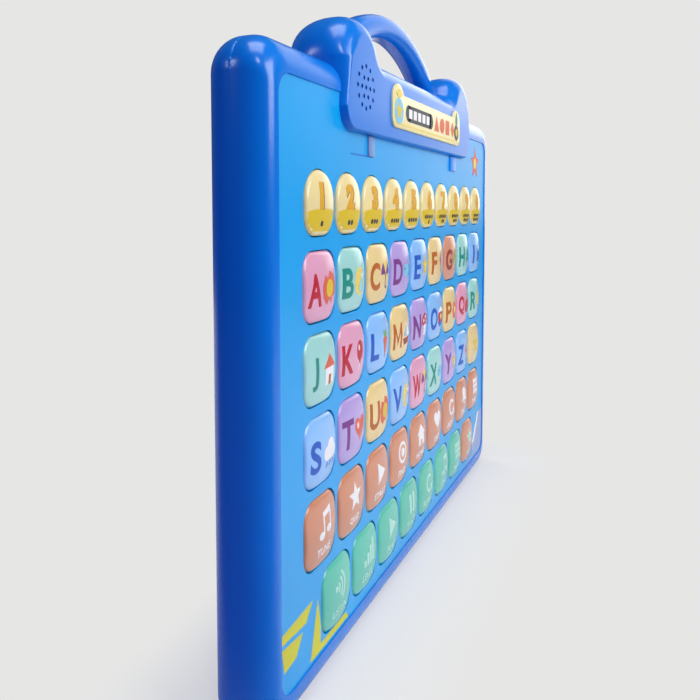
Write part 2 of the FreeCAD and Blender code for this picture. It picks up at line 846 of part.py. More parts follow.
# Front of the header, with the loudspeaker grille.
def header_cover(rim):
    length = d.header_seam - header_front
    body = header_shell("header_block", d.header_seam, length, header_front, d.header_round,
                        d.header_seam, length - d.header_wall, True)
    grille_z = d.case_height - d.grille_drop
    middle = front_sketch(body, "grille_middle", header_front, -d.grille_offset, grille_z)
    circles(middle, d.grille_hole, [(0, 0)])
    cut(body, middle, d.header_wall)
    for ring, count in enumerate(GRILLE_RING_COUNTS, start=1):
        hole = front_sketch(body, "grille_hole_sketch", header_front, -d.grille_offset, grille_z)
        circles(hole, d.grille_hole, [(d.grille_ring * ring, 0)])
        first = cut(body, hole, d.header_wall)
        repeat_round(body, first, hole, count)
    seated = doc.addObject("Part::Cut", "header_cover")
    seated.Base = body
    seated.Tool = rim
    keep("header_cover", seated)


# Rear of the header in one piece with the carry handle.
def carry_handle(rim):
    seam = d.header_seam + d.seam_gap
    length = d.header_rear - seam
    body = header_shell("header_rear_block", d.header_rear, length, d.header_rear, d.rear_round,
                        seam, length - d.header_wall, False)
    arch = new_body("handle_arch")
    bow = front_sketch(arch, "handle_bow", d.handle_front + d.handle_depth)
    handle_bow(bow)
    pad(arch, bow, d.handle_depth)
    round_rim(arch, d.handle_front, d.handle_round, is_arc)
    round_rim(arch, d.handle_front + d.handle_depth, d.handle_round, is_arc)
    seated = doc.addObject("Part::Cut", "carry_handle")
    seated.Base = joined("handle_block", [body, arch])
    seated.Tool = rim
    keep("carry_handle", seated)


def is_arc(edge):
    return isinstance(edge.Curve, Part.Circle)


def handle_bow(sketch):
    """A band between two arcs about one centre, ended upright inside the humps."""
    outer = d.handle_outer
    inner = d.handle_outer - d.handle_thick
    half = d.handle_span / 2
    centre = d.case_height + d.handle_rise - d.handle_outer
    ends = {}
    for radius in (outer, inner):
        lift = math.sqrt(radius.value ** 2 - half.value ** 2)
        ends[radius.value] = (centre.value + lift, math.degrees(math.acos(half.value / radius.value)))
    outer_z, outer_turn = ends[outer.value]
    inner_z, inner_turn = ends[inner.value]
    sketch.addGeometry(arc(0, centre.value, outer.value, outer_turn, 180 - outer_turn), False)
    sketch.addGeometry(line(-half.value, outer_z, -half.value, inner_z), False)
    sketch.addGeometry(arc(0, centre.value, inner.value, inner_turn, 180 - inner_turn), False)
    sketch.addGeometry(line(half.value, inner_z, half.value, outer_z), False)
    relate(sketch, "Coincident", 0, 2, 1, 1)
    relate(sketch, "Coincident", 1, 2, 2, 2)
    relate(sketch, "Coincident", 2, 1, 3, 1)
    relate(sketch, "Coincident", 3, 2, 0, 1)
    relate(sketch, "Coincident", 0, 3, 2, 3)
    relate(sketch, "PointOnObject", 0, 3, -2)
    relate(sketch, "Vertical", 1)
    relate(sketch, "Vertical", 3)
    dimension(sketch, "Radius", outer, 0)
    dimension(sketch, "Radius", inner, 2)
    dimension(sketch, "DistanceY", centre, -1, 1, 0, 3)
    dimension(sketch, "DistanceX", half, -1, 1, 3, 2)
    dimension(sketch, "DistanceX", half, 1, 1, -1, 1)


# Plaque on the header's front: a long plate with a disc at its upper left and upper right.
def header_badge():
    body = new_body("header_badge")
    plate = front_sketch(body, "badge_plate", header_front, d.badge_shift, d.case_height - d.badge_drop)
    rounded_rectangle(plate, d.badge_width, d.badge_height, d.badge_corner)
    pad(body, plate, d.badge_thick)
    for side in (-1, 1):
        disc_x = d.badge_shift + d.badge_disc_offset * side
        disc_z = d.case_height - d.badge_disc_drop
        disc = front_sketch(body, "badge_disc_sketch", header_front, disc_x, disc_z)
        circles(disc, d.badge_disc, [(0, 0)])
        pad(body, disc, d.badge_thick)
    keep("header_badge", body)


# Two small tabs on the plate, just under the header's lower edge.
def header_tabs():
    tab_z = d.case_height - d.header_drop - d.seam_gap - d.tab_height / 2
    pieces = []
    for side in (-1, 1):
        pieces.append(box("tab", d.tab_width, d.tab_thick, d.tab_height, d.tab_offset * side,
                          plate_front - d.tab_thick, tab_z))
    keep("header_tabs", group("header_tabs", pieces))


def loudspeaker():
    x = -d.grille_offset
    z = d.case_height - d.speaker_drop
    rim = rod("speaker_basket", d.speaker_size, d.speaker_rim, x, plate_rear, z)
    cone = doc.addObject("Part::Cone", "speaker_funnel")
    bind(cone, "Radius1", d.speaker_size / 2)
    bind(cone, "Radius2", d.magnet_size / 2)
    bind(cone, "Height", d.speaker_cone)
    cone.Placement = FreeCAD.Placement(FreeCAD.Vector(), FreeCAD.Rotation(FreeCAD.Vector(1, 0, 0), -90))
    place(cone, x, plate_rear + d.speaker_rim, z)
    magnet = rod("speaker_magnet", d.magnet_size, d.magnet_thick, x, speaker_rear - d.magnet_thick, z)
    keep("loudspeaker", joined("loudspeaker", [rim, cone, magnet]))


# Battery door with a sunk seat for its captive screw.
def battery_door():
    body = new_body("battery_door")
    outline = front_sketch(body, "door_outline", door_rear, z=d.tray_centre)
    rounded_rectangle(outline, d.door_width, d.door_height, d.door_corner)
    pad(body, outline, d.door_thick)
    sink = front_sketch(body, "door_sink", door_rear, z=door_screw_z())
    circles(sink, d.door_screw_head + d.screw_fit * 2, [(0, 0)])
    cut(body, sink, d.door_thick / 2, towards_front=True)
    bore = front_sketch(body, "door_bore", door_rear, z=door_screw_z())
    circles(bore, d.door_screw_size + d.screw_fit * 2, [(0, 0)])
    cut(body, bore, d.door_thick, towards_front=True)
    keep("battery_door", body)
    screw = screw_master("door_screw", d.door_screw_head, d.door_thick / 2, d.door_screw_size,
                         d.door_screw_length)
    seat = door_rear - d.door_thick / 2
    keep("battery_door_screw", copy_at("battery_door_screw", screw, ZERO, seat, door_screw_z()))


# Three cells side by side, each between two contact plates with a stud.
def batteries():
    cells = []
    contacts = []
    stud = (d.well_width - d.cell_length) / 2 - d.contact_thick
    for index in range(CELLS):
        level = well_centre + d.cell_pitch * (index - (CELLS - 1) / 2)
        cells.append(lying_rod("cell", d.cell_size, d.cell_length, -d.cell_length / 2, cell_centre, level))
        for side in (-1, 1):
            plate_x = (d.well_width - d.contact_thick) * (side / 2)
            plate = box("contact_plate", d.contact_thick, d.contact_size, d.contact_size, plate_x,
                        cell_centre - d.contact_size / 2, level)
            start = d.cell_length / 2 if side > 0 else -d.cell_length / 2 - stud
            knob = lying_rod("contact_knob", d.contact_stud, stud, start, cell_centre, level)
            contacts.append(joined("contact", [plate, knob]))
    keep("battery_cells", group("battery_cells", cells))
    keep("battery_contacts", group("battery_contacts", contacts))


def lying_rod(name, diameter, length, x, y, z):
    """A cylinder from x towards the right."""
    cylinder = doc.addObject("Part::Cylinder", name)
    bind(cylinder, "Radius", diameter / 2)
    bind(cylinder, "Height", length)
    cylinder.Placement = FreeCAD.Placement(FreeCAD.Vector(), FreeCAD.Rotation(FreeCAD.Vector(0, 1, 0), 90))
    place(cylinder, x, y, z)
    return cylinder


# Slide switch on the back: a knob with a base plate behind the wall, and the switch body in its cradle.
def power_switch():
    base = box("knob_base", d.knob_base_width, d.knob_base_thick, d.knob_base_height, d.switch_offset,
               back_inside - d.knob_gap - d.knob_base_thick, d.switch_row)
    stem = box("knob_stem", d.knob_width, d.knob_gap + d.back_wall + d.knob_rise, d.knob_height,
               d.switch_offset, back_inside - d.knob_gap, d.switch_row)
    keep("power_switch_knob", joined("power_switch_knob", [base, stem]))
    case = box("power_switch_body", d.switch_width, d.switch_depth, d.switch_height,
               d.switch_offset, switch_front(), d.switch_row)
    keep("power_switch_body", case)


def back_pads():
    pieces = []
    for side in (-1, 1):
        for level in (d.pad_margin, d.case_height - d.pad_margin):
            pad_x = (d.case_width / 2 - d.pad_side) * side
            pieces.append(rod("pad", d.pad_size, d.pad_thick, pad_x, back, level))
    keep("back_pads", group("back_pads", pieces))


def rounded_path(points):
    """Straight runs from point to point, joined by arcs that touch both runs."""
    edges = []
    begin = points[0]
    for before, corner, after in zip(points, points[1:], points[2:]):
        came = (before - corner).normalize()
        goes = (after - corner).normalize()
        reach = ARC_SHARE * min((before - corner).Length, (after - corner).Length)
        inward = (came + goes).normalize()
        slope = came.getAngle(inward)
        middle = corner + inward * (reach / math.cos(slope) - reach * math.tan(slope))
        edges.append(Part.LineSegment(begin, corner + came * reach).toShape())
        begin = corner + goes * reach
        edges.append(Part.Arc(corner + came * reach, middle, begin).toShape())
        print("lead bend radius %.1f" % (reach * math.tan(slope)))
    edges.append(Part.LineSegment(begin, points[-1]).toShape())
    return Part.Wire(edges)


def lead(start, leaving, stop, arriving):
    """One lead: a straight run out of each end and a slack bow towards the back between them."""
    points = [FreeCAD.Vector(*[as_size(value).value for value in end]) for end in (start, stop)]
    runs = [FreeCAD.Vector(*way) * d.lead_run.value for way in (leaving, arriving)]
    near = points[0] + runs[0]
    far = points[1] + runs[1]
    bow = (near + far) / 2 + FreeCAD.Vector(0, d.lead_bow.value, 0)
    path = rounded_path([points[0], near, bow, far, points[1]])
    section = Part.Wire(Part.makeCircle(d.lead_size.value / 2, points[0], runs[0]))
    tube = path.makePipeShell([section], True, False)
    expected = math.pi * d.lead_size.value ** 2 / 4 * path.Length
    if abs(tube.Volume - expected) > expected / 100:
        raise ValueError("a lead is %.2f in volume instead of %.2f" % (tube.Volume, expected))
    piece = doc.addObject("Part::Feature", "lead")
    piece.Shape = tube
    return piece


# Leads from the battery tray, the loudspeaker and the switch to their sockets on the circuit board.
def lead_wires():
    up, down, rearward = (0, 0, 1), (0, 0, -1), (0, 1, 0)
    socket_depth = circuit_rear + d.socket_thick / 2
    socket_top = letter_row + d.socket_height / 2 + d.lead_gap
    socket_base = letter_row - d.socket_height / 2 - d.lead_gap
    tray_end = (-key_pitch, cell_centre, d.tray_centre + d.tray_height / 2 + d.lead_gap)
    speaker_end = (-d.grille_offset, speaker_rear + d.lead_gap, d.case_height - d.speaker_drop)
    switch_end = (d.switch_offset, switch_front() + d.switch_depth / 2,
                  d.switch_row + d.switch_height / 2 + d.lead_gap)
    keep("lead_wires", group("lead_wires", [
        lead(tray_end, up, (-key_pitch, socket_depth, socket_base), down),
        lead(speaker_end, rearward, (-key_pitch * 2, socket_depth, socket_top), up),
        lead(switch_end, up, (key_pitch * 3, socket_depth, socket_base), down),
    ]))


def check_and_write():
    doc.recompute()
    for thing in doc.Objects:
        if "Invalid" in thing.State or "Error" in thing.State:
            raise ValueError("%s failed: %s" % (thing.Label, thing.State))
    for name, piece in parts.items():
        if piece.Shape.isNull() or not piece.Shape.isValid():
            raise ValueError("%s has no valid shape" % name)
    os.makedirs("parts", exist_ok=True)
    for name, piece in parts.items():
        solids = piece.Shape.Solids
        shape = solids[0] if len(solids) == 1 else Part.makeCompound(solids)
        shape.exportStep("parts/%s.step" % name)
    print("%d sub-parts written" % len(parts))


rear_shell()
front_frame()
face_plate()
keys()
key_mat()
circuit_board()
circuit_parts()
screws()
rim = rim_form()
header_cover(rim)
carry_handle(rim)
header_badge()
header_tabs()
loudspeaker()
battery_door()
batteries()
power_switch()
back_pads()
lead_wires()
check_and_write()
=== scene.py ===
from math import acos, asin, atan2, ceil, copysign, cos, degrees, dist, floor, hypot, pi, radians, sin, sqrt

import bmesh
import bpy
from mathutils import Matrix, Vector

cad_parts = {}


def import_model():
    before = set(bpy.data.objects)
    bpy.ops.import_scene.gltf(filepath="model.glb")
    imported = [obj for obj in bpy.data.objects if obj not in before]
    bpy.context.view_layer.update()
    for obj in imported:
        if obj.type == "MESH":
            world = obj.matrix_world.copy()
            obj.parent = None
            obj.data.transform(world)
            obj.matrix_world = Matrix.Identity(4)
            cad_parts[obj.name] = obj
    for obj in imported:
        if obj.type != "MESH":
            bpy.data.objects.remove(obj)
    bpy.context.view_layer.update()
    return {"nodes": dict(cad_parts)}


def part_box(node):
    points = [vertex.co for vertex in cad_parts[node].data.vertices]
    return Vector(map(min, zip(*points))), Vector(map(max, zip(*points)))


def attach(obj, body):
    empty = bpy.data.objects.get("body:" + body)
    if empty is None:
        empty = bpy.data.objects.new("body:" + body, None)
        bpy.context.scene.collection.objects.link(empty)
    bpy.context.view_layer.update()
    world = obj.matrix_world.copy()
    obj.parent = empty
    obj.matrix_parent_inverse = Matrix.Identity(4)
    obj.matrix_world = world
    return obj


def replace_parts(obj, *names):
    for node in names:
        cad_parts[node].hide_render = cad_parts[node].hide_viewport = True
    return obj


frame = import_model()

# A child's learning board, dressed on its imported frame. The board stands upright, its keyed front
# towards -Y. Lengths are in metres; MM turns a length in millimetres into metres.

nodes = frame["nodes"]
MM = 0.001

plate_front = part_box("face_plate")[0].y
header_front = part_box("header_cover")[0].y
badge_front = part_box("header_badge")[0].y
key_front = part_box("key_a")[0].y
key_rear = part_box("key_a")[1].y


def colour(red, green, blue):
    """Screen values from 0 to 255, as the linear colour that a shader takes."""
    linear = []
    for value in (red, green, blue):
        share = value / 255
        linear.append(share / 12.92 if share <= 0.04045 else ((share + 0.055) / 1.055) ** 2.4)
    return (*linear, 1)


def shaded(tone, share):
    """A colour made brighter by a share above nought, or darker by one below."""
    return (*[min(value * (1 + share), 1) for value in tone[:3]], 1)


# Materials

SKIN_BUMP = 0.5
WEAR_SPAN = 14
GLOSS_SWING = 0.08
COAT_ROUGHNESS = 0.12


def add_node(tree, kind, inputs, **settings):
    """A new shader node, whose inputs each take a value or the output of another node."""
    node = tree.nodes.new("ShaderNode" + kind)
    for name, value in settings.items():
        setattr(node, name, value)
    for name, value in inputs.items():
        if isinstance(value, bpy.types.NodeSocket):
            tree.links.new(value, node.inputs[name])
        else:
            node.inputs[name].default_value = value
    return node


def new_material(name):
    material = bpy.data.materials.new(name)
    material.use_nodes = True
    tree = material.node_tree
    return material, tree, tree.nodes["Principled BSDF"]


def noise(tree, size, detail=2):
    """Noise whose lumps are about the given size across."""
    place = add_node(tree, "TexCoord", {}).outputs["Object"]
    return add_node(tree, "TexNoise", {"Vector": place, "Scale": 1 / size, "Detail": detail}).outputs["Fac"]


def ramp(tree, factor, stops):
    """Colours along a factor, each stop a place from 0 to 1 and its colour."""
    node = add_node(tree, "ValToRGB", {"Fac": factor})
    elements = node.color_ramp.elements
    while len(elements) < len(stops):
        elements.new(1)
    for element, (spot, tone) in zip(elements, stops):
        element.position = spot
        element.color = tone
    return node.outputs["Color"]


def textured(name, size, detail, stops, grain, depth, roughness, swing):
    """A material whose colour follows noise through the stops, with a fine skin and gloss that varies."""
    material, tree, shader = new_material(name)
    shade = ramp(tree, noise(tree, size, detail), stops)
    relief = noise(tree, grain, 3)
    bump = add_node(tree, "Bump", {"Height": relief, "Strength": SKIN_BUMP, "Distance": depth})
    wear = noise(tree, grain * WEAR_SPAN)
    gloss = add_node(tree, "MapRange", {"Value": wear, "To Min": roughness - swing,
                                        "To Max": roughness + swing})
    tree.links.new(shade, shader.inputs["Base Color"])
    tree.links.new(bump.outputs["Normal"], shader.inputs["Normal"])
    tree.links.new(gloss.outputs["Result"], shader.inputs["Roughness"])
    return material, shader


def moulded(name, tone, roughness=0.3, drift=0.06, coat=0.0, grain=0.9 * MM, depth=0.02 * MM):
    """Moulded plastic, whose colour drifts a little over the piece."""
    stops = [(0.3, shaded(tone, -drift)), (0.7, shaded(tone, drift))]
    material, shader = textured(name, size=38 * MM, detail=3, stops=stops, grain=grain, depth=depth,
                                roughness=roughness, swing=roughness * GLOSS_SWING)
    shader.inputs["Coat Weight"].default_value = coat
    shader.inputs["Coat Roughness"].default_value = COAT_ROUGHNESS
    return material


def printed(name, tone, roughness=0.42):
    """Printing ink, with the faint speckle that screen printing leaves."""
    stops = [(0.35, shaded(tone, -0.1)), (0.6, tone)]
    return textured(name, size=0.35 * MM, detail=2, stops=stops, grain=0.4 * MM, depth=0.008 * MM,
                    roughness=roughness, swing=0.05)[0]


def metal(name, tone):
    """Plated steel with a faint brushed drift."""
    stops = [(0.3, shaded(tone, -0.2)), (0.7, tone)]
    material, shader = textured(name, size=2 * MM, detail=4, stops=stops, grain=0.3 * MM, depth=0.01 * MM,
                                roughness=0.3, swing=0.08)
    shader.inputs["Metallic"].default_value = 1
    return material


CAP_TONES = {
    "pink": (224, 160, 182), "mint": (160, 212, 200), "yellow": (230, 203, 138),
    "purple": (180, 158, 210), "blue": (138, 188, 234), "orange": (214, 146, 112),
    "copper": (206, 138, 102), "green": (88, 190, 162), "cream": (236, 216, 150),
}
INK_TONES = {
    "red": (190, 18, 42), "teal": (12, 140, 122), "brown": (186, 98, 22),
    "violet": (122, 52, 128), "navy": (22, 88, 186), "rust": (150, 60, 40),
    "white": (240, 238, 234), "black": (48, 46, 48), "gold": (222, 190, 30),
    "straw": (232, 208, 96), "amber": (224, 164, 16), "lemon": (214, 206, 14),
    "leaf": (112, 168, 62), "sky": (120, 196, 222), "grey": (150, 156, 164),
    "coral": (222, 96, 62), "pale": (176, 226, 206), "deep": (10, 104, 200),
    "lilac": (150, 172, 212),
}
caps = {name: moulded("cap_" + name, colour(*tone), 0.24, 0.04, 0.25) for name, tone in CAP_TONES.items()}
inks = {name: printed("ink_" + name, colour(*tone)) for name, tone in INK_TONES.items()}
case_blue = moulded("case_blue", colour(0, 116, 208), 0.22, 0.03)
plate_blue = moulded("plate_blue", colour(8, 160, 224), 0.3, 0.03)
tab_lavender = moulded("tab_lavender", colour(108, 140, 188), 0.35)
tab_azure = moulded("tab_azure", colour(0, 132, 226), 0.3)
dark_plastic = moulded("dark_plastic", colour(34, 34, 38), 0.45)
dark_rubber = moulded("dark_rubber", colour(40, 42, 48), 0.7, 0.1, grain=1.6 * MM, depth=0.06 * MM)
grey_rubber = moulded("grey_rubber", colour(150, 152, 156), 0.65)
board_green = moulded("board_green", colour(30, 110, 60), 0.4)
lead_red = moulded("lead_red", colour(170, 30, 30), 0.4)
cell_jacket = moulded("cell_jacket", colour(70, 74, 84), 0.3, 0.1, 0.2)
plaque_cream = printed("plaque_cream", colour(236, 222, 158), 0.35)
steel = metal("steel", colour(186, 186, 190))


# Meshes

CREASE = 40
CARVED_CREASE = 35
WELD = 0.001 * MM
ARC_STEPS = 8
SLAB_STEPS = 4
BULL_STEPS = 14


def new_object(name, data):
    """A new object in the scene, from a mesh, a lamp or other data."""
    thing = bpy.data.objects.new(name, data)
    bpy.context.scene.collection.objects.link(thing)
    return thing


class Form:
    """Collects the faces of one piece, each with its material."""

    def __init__(self):
        self.points = []
        self.faces = []
        self.marks = []
        self.materials = []

    def add(self, points, faces, material):
        if material not in self.materials:
            self.materials.append(material)
        base = len(self.points)
        self.points += points
        self.faces += [[base + index for index in face] for face in faces]
        self.marks += [self.materials.index(material)] * len(faces)

    def mesh(self, name):
        mesh = bpy.data.meshes.new(name)
        mesh.from_pydata(self.points, [], self.faces)
        for material in self.materials:
            mesh.materials.append(material)
        mesh.polygons.foreach_set("material_index", self.marks)
        shape = bmesh.new()
        shape.from_mesh(mesh)
        bmesh.ops.recalc_face_normals(shape, faces=shape.faces[:])
        shape.to_mesh(mesh)
        shape.free()
        mesh.shade_smooth()
        mesh.set_sharp_from_angle(angle=radians(CREASE))
        return mesh

    def make(self, name, body):
        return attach(new_object(name, self.mesh(name)), body)


def arc_points(x, z, radius, start, stop, steps=14):
    points = []
    for index in range(steps + 1):
        angle = radians(start + (stop - start) * index / steps)
        points.append((x + radius * cos(angle), z + radius * sin(angle)))
    return points


def round_over(steps):
    """Pairs of shares along a quarter round: the first grows from 0 to 1 as the second falls to 0."""
    turns = [pi / 2 * index / steps for index in range(steps + 1)]
    return [(1 - cos(turn), 1 - sin(turn)) for turn in turns]


def between(start, stop, share):
    """The place a share of the way from one place to another."""
    return tuple(a + (b - a) * share for a, b in zip(start, stop))


def joined_arcs(arcs, runs=1):
    """One closed ring through arcs, with the straight runs between them cut into parts."""
    ring = []
    for index, arc in enumerate(arcs):
        following = arcs[(index + 1) % len(arcs)]
        ring += arc
        ring += [between(arc[-1], following[0], step / runs) for step in range(1, runs)]
    return ring


def mirrored(arcs, middle):
    """The arcs of an outline's right half, and the same turned over for its left half."""
    return arcs + [[(2 * middle - u, v) for u, v in reversed(arc)] for arc in reversed(arcs)]


def add_loft(form, rings, material, closed=False, crown=None):
    """A skin through rings of points: closed on itself, or capped at both ends, the last with a crown."""
    count = len(rings[0])
    points = [point for ring in rings for point in ring]
    steps = [(index, (index + 1) % count) for index in range(count)]
    faces = []
    for ring in range(len(rings) if closed else len(rings) - 1):
        near = ring * count
        far = (ring + 1) % len(rings) * count
        faces += [(near + a, near + b, far + b, far + a) for a, b in steps]
    last = len(points) - count
    if not closed:
        faces.append(list(range(count)))
    if crown:
        points.append(crown)
        faces += [(last + a, last + b, last + count) for a, b in steps]
    elif not closed:
        faces.append(list(range(last, last + count)))
    form.add(points, faces, material)


def at_depth(ring, depth):
    """A ring of (across, up) set at a depth, and cut off flat at the floor."""
    return [(u, depth, max(v, 0)) for u, v in ring]


def add_rows(form, rows, outline, material, closed=False):
    """A skin through an outline that is drawn in by each row's inset, at each row's depth."""
    add_loft(form, [at_depth(outline(inset), depth) for inset, depth in rows], material, closed)


def rounded_ring(x, z, width, height, corner, inset, steps=ARC_STEPS, runs=1):
    """A rounded rectangle about (x, z), drawn in by an inset."""
    across = width / 2 - corner
    up = height / 2 - corner
    arcs = [arc_points(x + across, z - up, corner - inset, 270, 360, steps),
            arc_points(x + across, z + up, corner - inset, 0, 90, steps)]
    return joined_arcs(mirrored(arcs, x), runs)


def add_slab(form, x, z, width, height, corner, foot, top, edge, material):
    """A raised block from the depth foot to the depth top, with its upper edge rounded."""
    way = 1 if top > foot else -1
    rows = [(0, foot)]
    rows += [(edge * inset, top - way * edge * fall) for inset, fall in round_over(SLAB_STEPS)]
    add_rows(form, rows, lambda inset: rounded_ring(x, z, width, height, corner, inset), material)


def bull_nose(front, back, reach, front_depth, back_depth):
    """Rows of (inset, depth) that round a form over at its front and at its back."""
    shares = round_over(BULL_STEPS)
    rows = [(reach * fall, front + front_depth * share) for share, fall in shares]
    return rows + [(reach * fall, back - back_depth * share) for share, fall in reversed(shares)]


def welded(node):
    """A copy of a CAD node's mesh, as one closed skin."""
    mesh = bpy.data.meshes.new(node)
    shape = bmesh.new()
    shape.from_mesh(nodes[node].data)
    bmesh.ops.remove_doubles(shape, verts=shape.verts[:], dist=WELD)
    shape.to_mesh(mesh)
    shape.free()
    return mesh


def cut_mesh(mesh, tool, operation):
    """A mesh cut by a tool: INTERSECT keeps what lies inside the tool, DIFFERENCE what lies outside."""
    blank = new_object("blank", mesh)
    cutter = new_object("cutter", tool)
    modifier = blank.modifiers.new("carve", "BOOLEAN")
    modifier.operation = operation
    modifier.solver = "EXACT"
    modifier.object = cutter
    graph = bpy.context.evaluated_depsgraph_get()
    result = bpy.data.meshes.new_from_object(blank.evaluated_get(graph))
    for thing in (blank, cutter):
        bpy.data.objects.remove(thing)
    return result


def case_piece(name, mesh, *replaced):
    """A piece of the blue case from a cut mesh."""
    mesh.materials.clear()
    mesh.materials.append(case_blue)
    mesh.polygons.foreach_set("material_index", [0] * len(mesh.polygons))
    mesh.shade_smooth()
    mesh.set_sharp_from_angle(angle=radians(CARVED_CREASE))
    piece = new_object(name, mesh)
    piece.modifiers.new("normals", "WEIGHTED_NORMAL").keep_sharp = True
    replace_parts(piece, *replaced)
    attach(piece, "case")


# Case: the front half is a tube round the plate, slimmest at the left; the back half is a full round

CASE_CORNER = 14 * MM
CORNER_STEPS = 14
BASE_RUN = 1.6 * MM
NOSE = 12 * MM
NOSE_STEPS = 16
LIP_SHARE = 0.9
HAIR = 0.04 * MM
SUNK = HAIR * 4
SIDE_WALL = 2.6 * MM
PLATE_LEFT = -151.5 * MM
PLATE_RIGHT = 148.5 * MM
PLATE_FOOT = 12.4 * MM
PLATE_TOP = 233.6 * MM
PLATE_CORNER = 8 * MM
PLATE_BORDER = 4 * MM
PLATE_SKIN = 0.012 * MM


def plate_ring(inset):
    """The plate's outline as it shows inside the rim."""
    x = (PLATE_LEFT + PLATE_RIGHT) / 2
    z = (PLATE_FOOT + PLATE_TOP) / 2
    return rounded_ring(x, z, PLATE_RIGHT - PLATE_LEFT, PLATE_TOP - PLATE_FOOT, PLATE_CORNER, inset,
                        CORNER_STEPS)


def case():
    low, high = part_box("front_frame")
    front = low.y + HAIR
    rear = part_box("rear_shell")[1].y - HAIR
    width = high.x - low.x - HAIR * 2
    height = high.z - HAIR + BASE_RUN
    middle = height / 2 - BASE_RUN

    def outline(inset):
        return rounded_ring(0, middle, width, height, CASE_CORNER, inset, CORNER_STEPS)

    form = Form()
    rows = bull_nose(front, rear, NOSE, NOSE, NOSE)
    add_loft(form, [[(u, depth, v) for u, v in outline(inset)] for inset, depth in rows], case_blue)
    rounded = cut_mesh(welded("rear_shell"), form.mesh("pillow"), "INTERSECT")
    case_piece("case_back", rounded, "rear_shell")
    rim(outline, front, high.y)
    plate_border()


def rim(outline, front, seam):
    """The front half: it rounds over to the front, and steps down to the plate."""
    outer = outline(0)
    inner = plate_ring(0)
    wall = outline(SIDE_WALL)
    rings = [at_depth(outer, seam)]
    for share, fall in round_over(NOSE_STEPS):
        ring = []
        for start, stop in zip(outer, inner):
            reach = min(NOSE / dist(start, stop), LIP_SHARE)
            ring.append(between(start, stop, reach * share))
        rings.append(at_depth(ring, front + NOSE * fall))
    for ring, depth in ((inner, front), (inner, plate_front + HAIR), (wall, front + NOSE / 2), (wall, seam)):
        rings.append(at_depth(ring, depth))
    form = Form()
    add_loft(form, rings, case_blue, closed=True)
    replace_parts(form.make("case_front", "case"), "front_frame")


def plate_border():
    """The plate's border, which runs on under the rim."""
    face = plate_front - PLATE_SKIN
    sunk = plate_front + SUNK
    rows = ((0, sunk), (0, face), (PLATE_BORDER, face), (PLATE_BORDER, sunk))
    form = Form()
    add_rows(form, rows, plate_ring, plate_blue, closed=True)
    form.make("plate_border", "case")


# Header with its two humps, and the carry handle

HUMP_RADIUS = 20 * MM
SADDLE_DROP = 15 * MM
SADDLE_BLEND = 8 * MM
HEADER_CORNER = 10 * MM
HEADER_REACH = 9 * MM
HEADER_FRONT_DEPTH = 12 * MM
HEADER_BACK_DEPTH = 16 * MM
HEADER_REAR = 13.4 * MM
HEADER_CRISP = 0.14
HEADER_CRISP_TOP = 236 * MM
HEADER_SOFT_FOOT = 258 * MM
HEADER_STEPS = 16
GRILLE_X = -82 * MM
GRILLE_Z = 238 * MM
GRILLE_HOLE = 1 * MM
GRILLE_RING = 4.4 * MM
GRILLE_RING_COUNTS = (1, 6, 12)
GRILLE_DEEP = 3 * MM
GRILLE_SIDES = 16


def header_outline(low, high):
    """The header's outline as a function of how far it is drawn in."""
    middle = (low.x + high.x) / 2
    half = (high.x - low.x) / 2 - HAIR
    hump_z = high.z - HUMP_RADIUS - HAIR
    hump_x = half - HUMP_RADIUS
    blend_z = high.z - SADDLE_DROP + SADDLE_BLEND
    reach = sqrt((HUMP_RADIUS + SADDLE_BLEND) ** 2 - (blend_z - hump_z) ** 2)
    blend_x = hump_x - reach
    turn = degrees(atan2(blend_z - hump_z, -reach))
    foot_x = half - HEADER_CORNER
    foot_z = low.z + HEADER_CORNER + HAIR

    def outline(inset):
        hump = HUMP_RADIUS - inset
        blend = SADDLE_BLEND + inset
        foot = HEADER_CORNER - inset
        arcs = [arc_points(middle + foot_x, foot_z, foot, 270, 360, HEADER_STEPS),
                arc_points(middle + hump_x, hump_z, hump, 0, turn, HEADER_STEPS * 2),
                arc_points(middle + blend_x, blend_z, blend, turn + 180, 270, HEADER_STEPS)]
        return joined_arcs(mirrored(arcs, middle))

    return outline


def softness(z):
    """How much of the full rounding the header has at a height: little at its foot, all at its humps."""
    share = min(max((z - HEADER_CRISP_TOP) / (HEADER_SOFT_FOOT - HEADER_CRISP_TOP), 0), 1)
    return HEADER_CRISP + (1 - HEADER_CRISP) * share * share * (3 - 2 * share)


def header():
    low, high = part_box("header_cover")
    outline = header_outline(low, high)
    outer = outline(0)
    inner = outline(HEADER_REACH)
    rings = []
    for share, depth in bull_nose(low.y + HAIR, HEADER_REAR, 1, HEADER_FRONT_DEPTH, HEADER_BACK_DEPTH):
        ring = [between(start, stop, share * softness(start[1])) for start, stop in zip(outer, inner)]
        rings.append(at_depth(ring, depth))
    form = Form()
    add_loft(form, rings, case_blue)
    drilled = cut_mesh(form.mesh("header"), grille(low.y), "DIFFERENCE")
    case_piece("header", drilled, "header_cover", "carry_handle")
    handle()


def grille(front):
    """The pins that drill the loudspeaker's holes, in rings about one middle hole."""
    form = Form()
    ends = (front - GRILLE_DEEP, front + GRILLE_DEEP)
    for ring, count in enumerate(GRILLE_RING_COUNTS):
        for index in range(count):
            turn = 2 * pi * index / count
            x = GRILLE_X + GRILLE_RING * ring * cos(turn)
            z = GRILLE_Z + GRILLE_RING * ring * sin(turn)
            circle = disc(x, z, GRILLE_HOLE, steps=GRILLE_SIDES)
            add_loft(form, [at_depth(circle, depth) for depth in ends], case_blue)
    return form.mesh("grille")


ARCH_OUTER = 110 * MM
ARCH_THICK = 12.5 * MM
ARCH_DEPTH = 14 * MM
ARCH_FRONT = -0.5 * MM
ARCH_END = 75 * MM
ARCH_SQUARENESS = 2.5
ARCH_STEPS = 60
ARCH_SIDES = 28


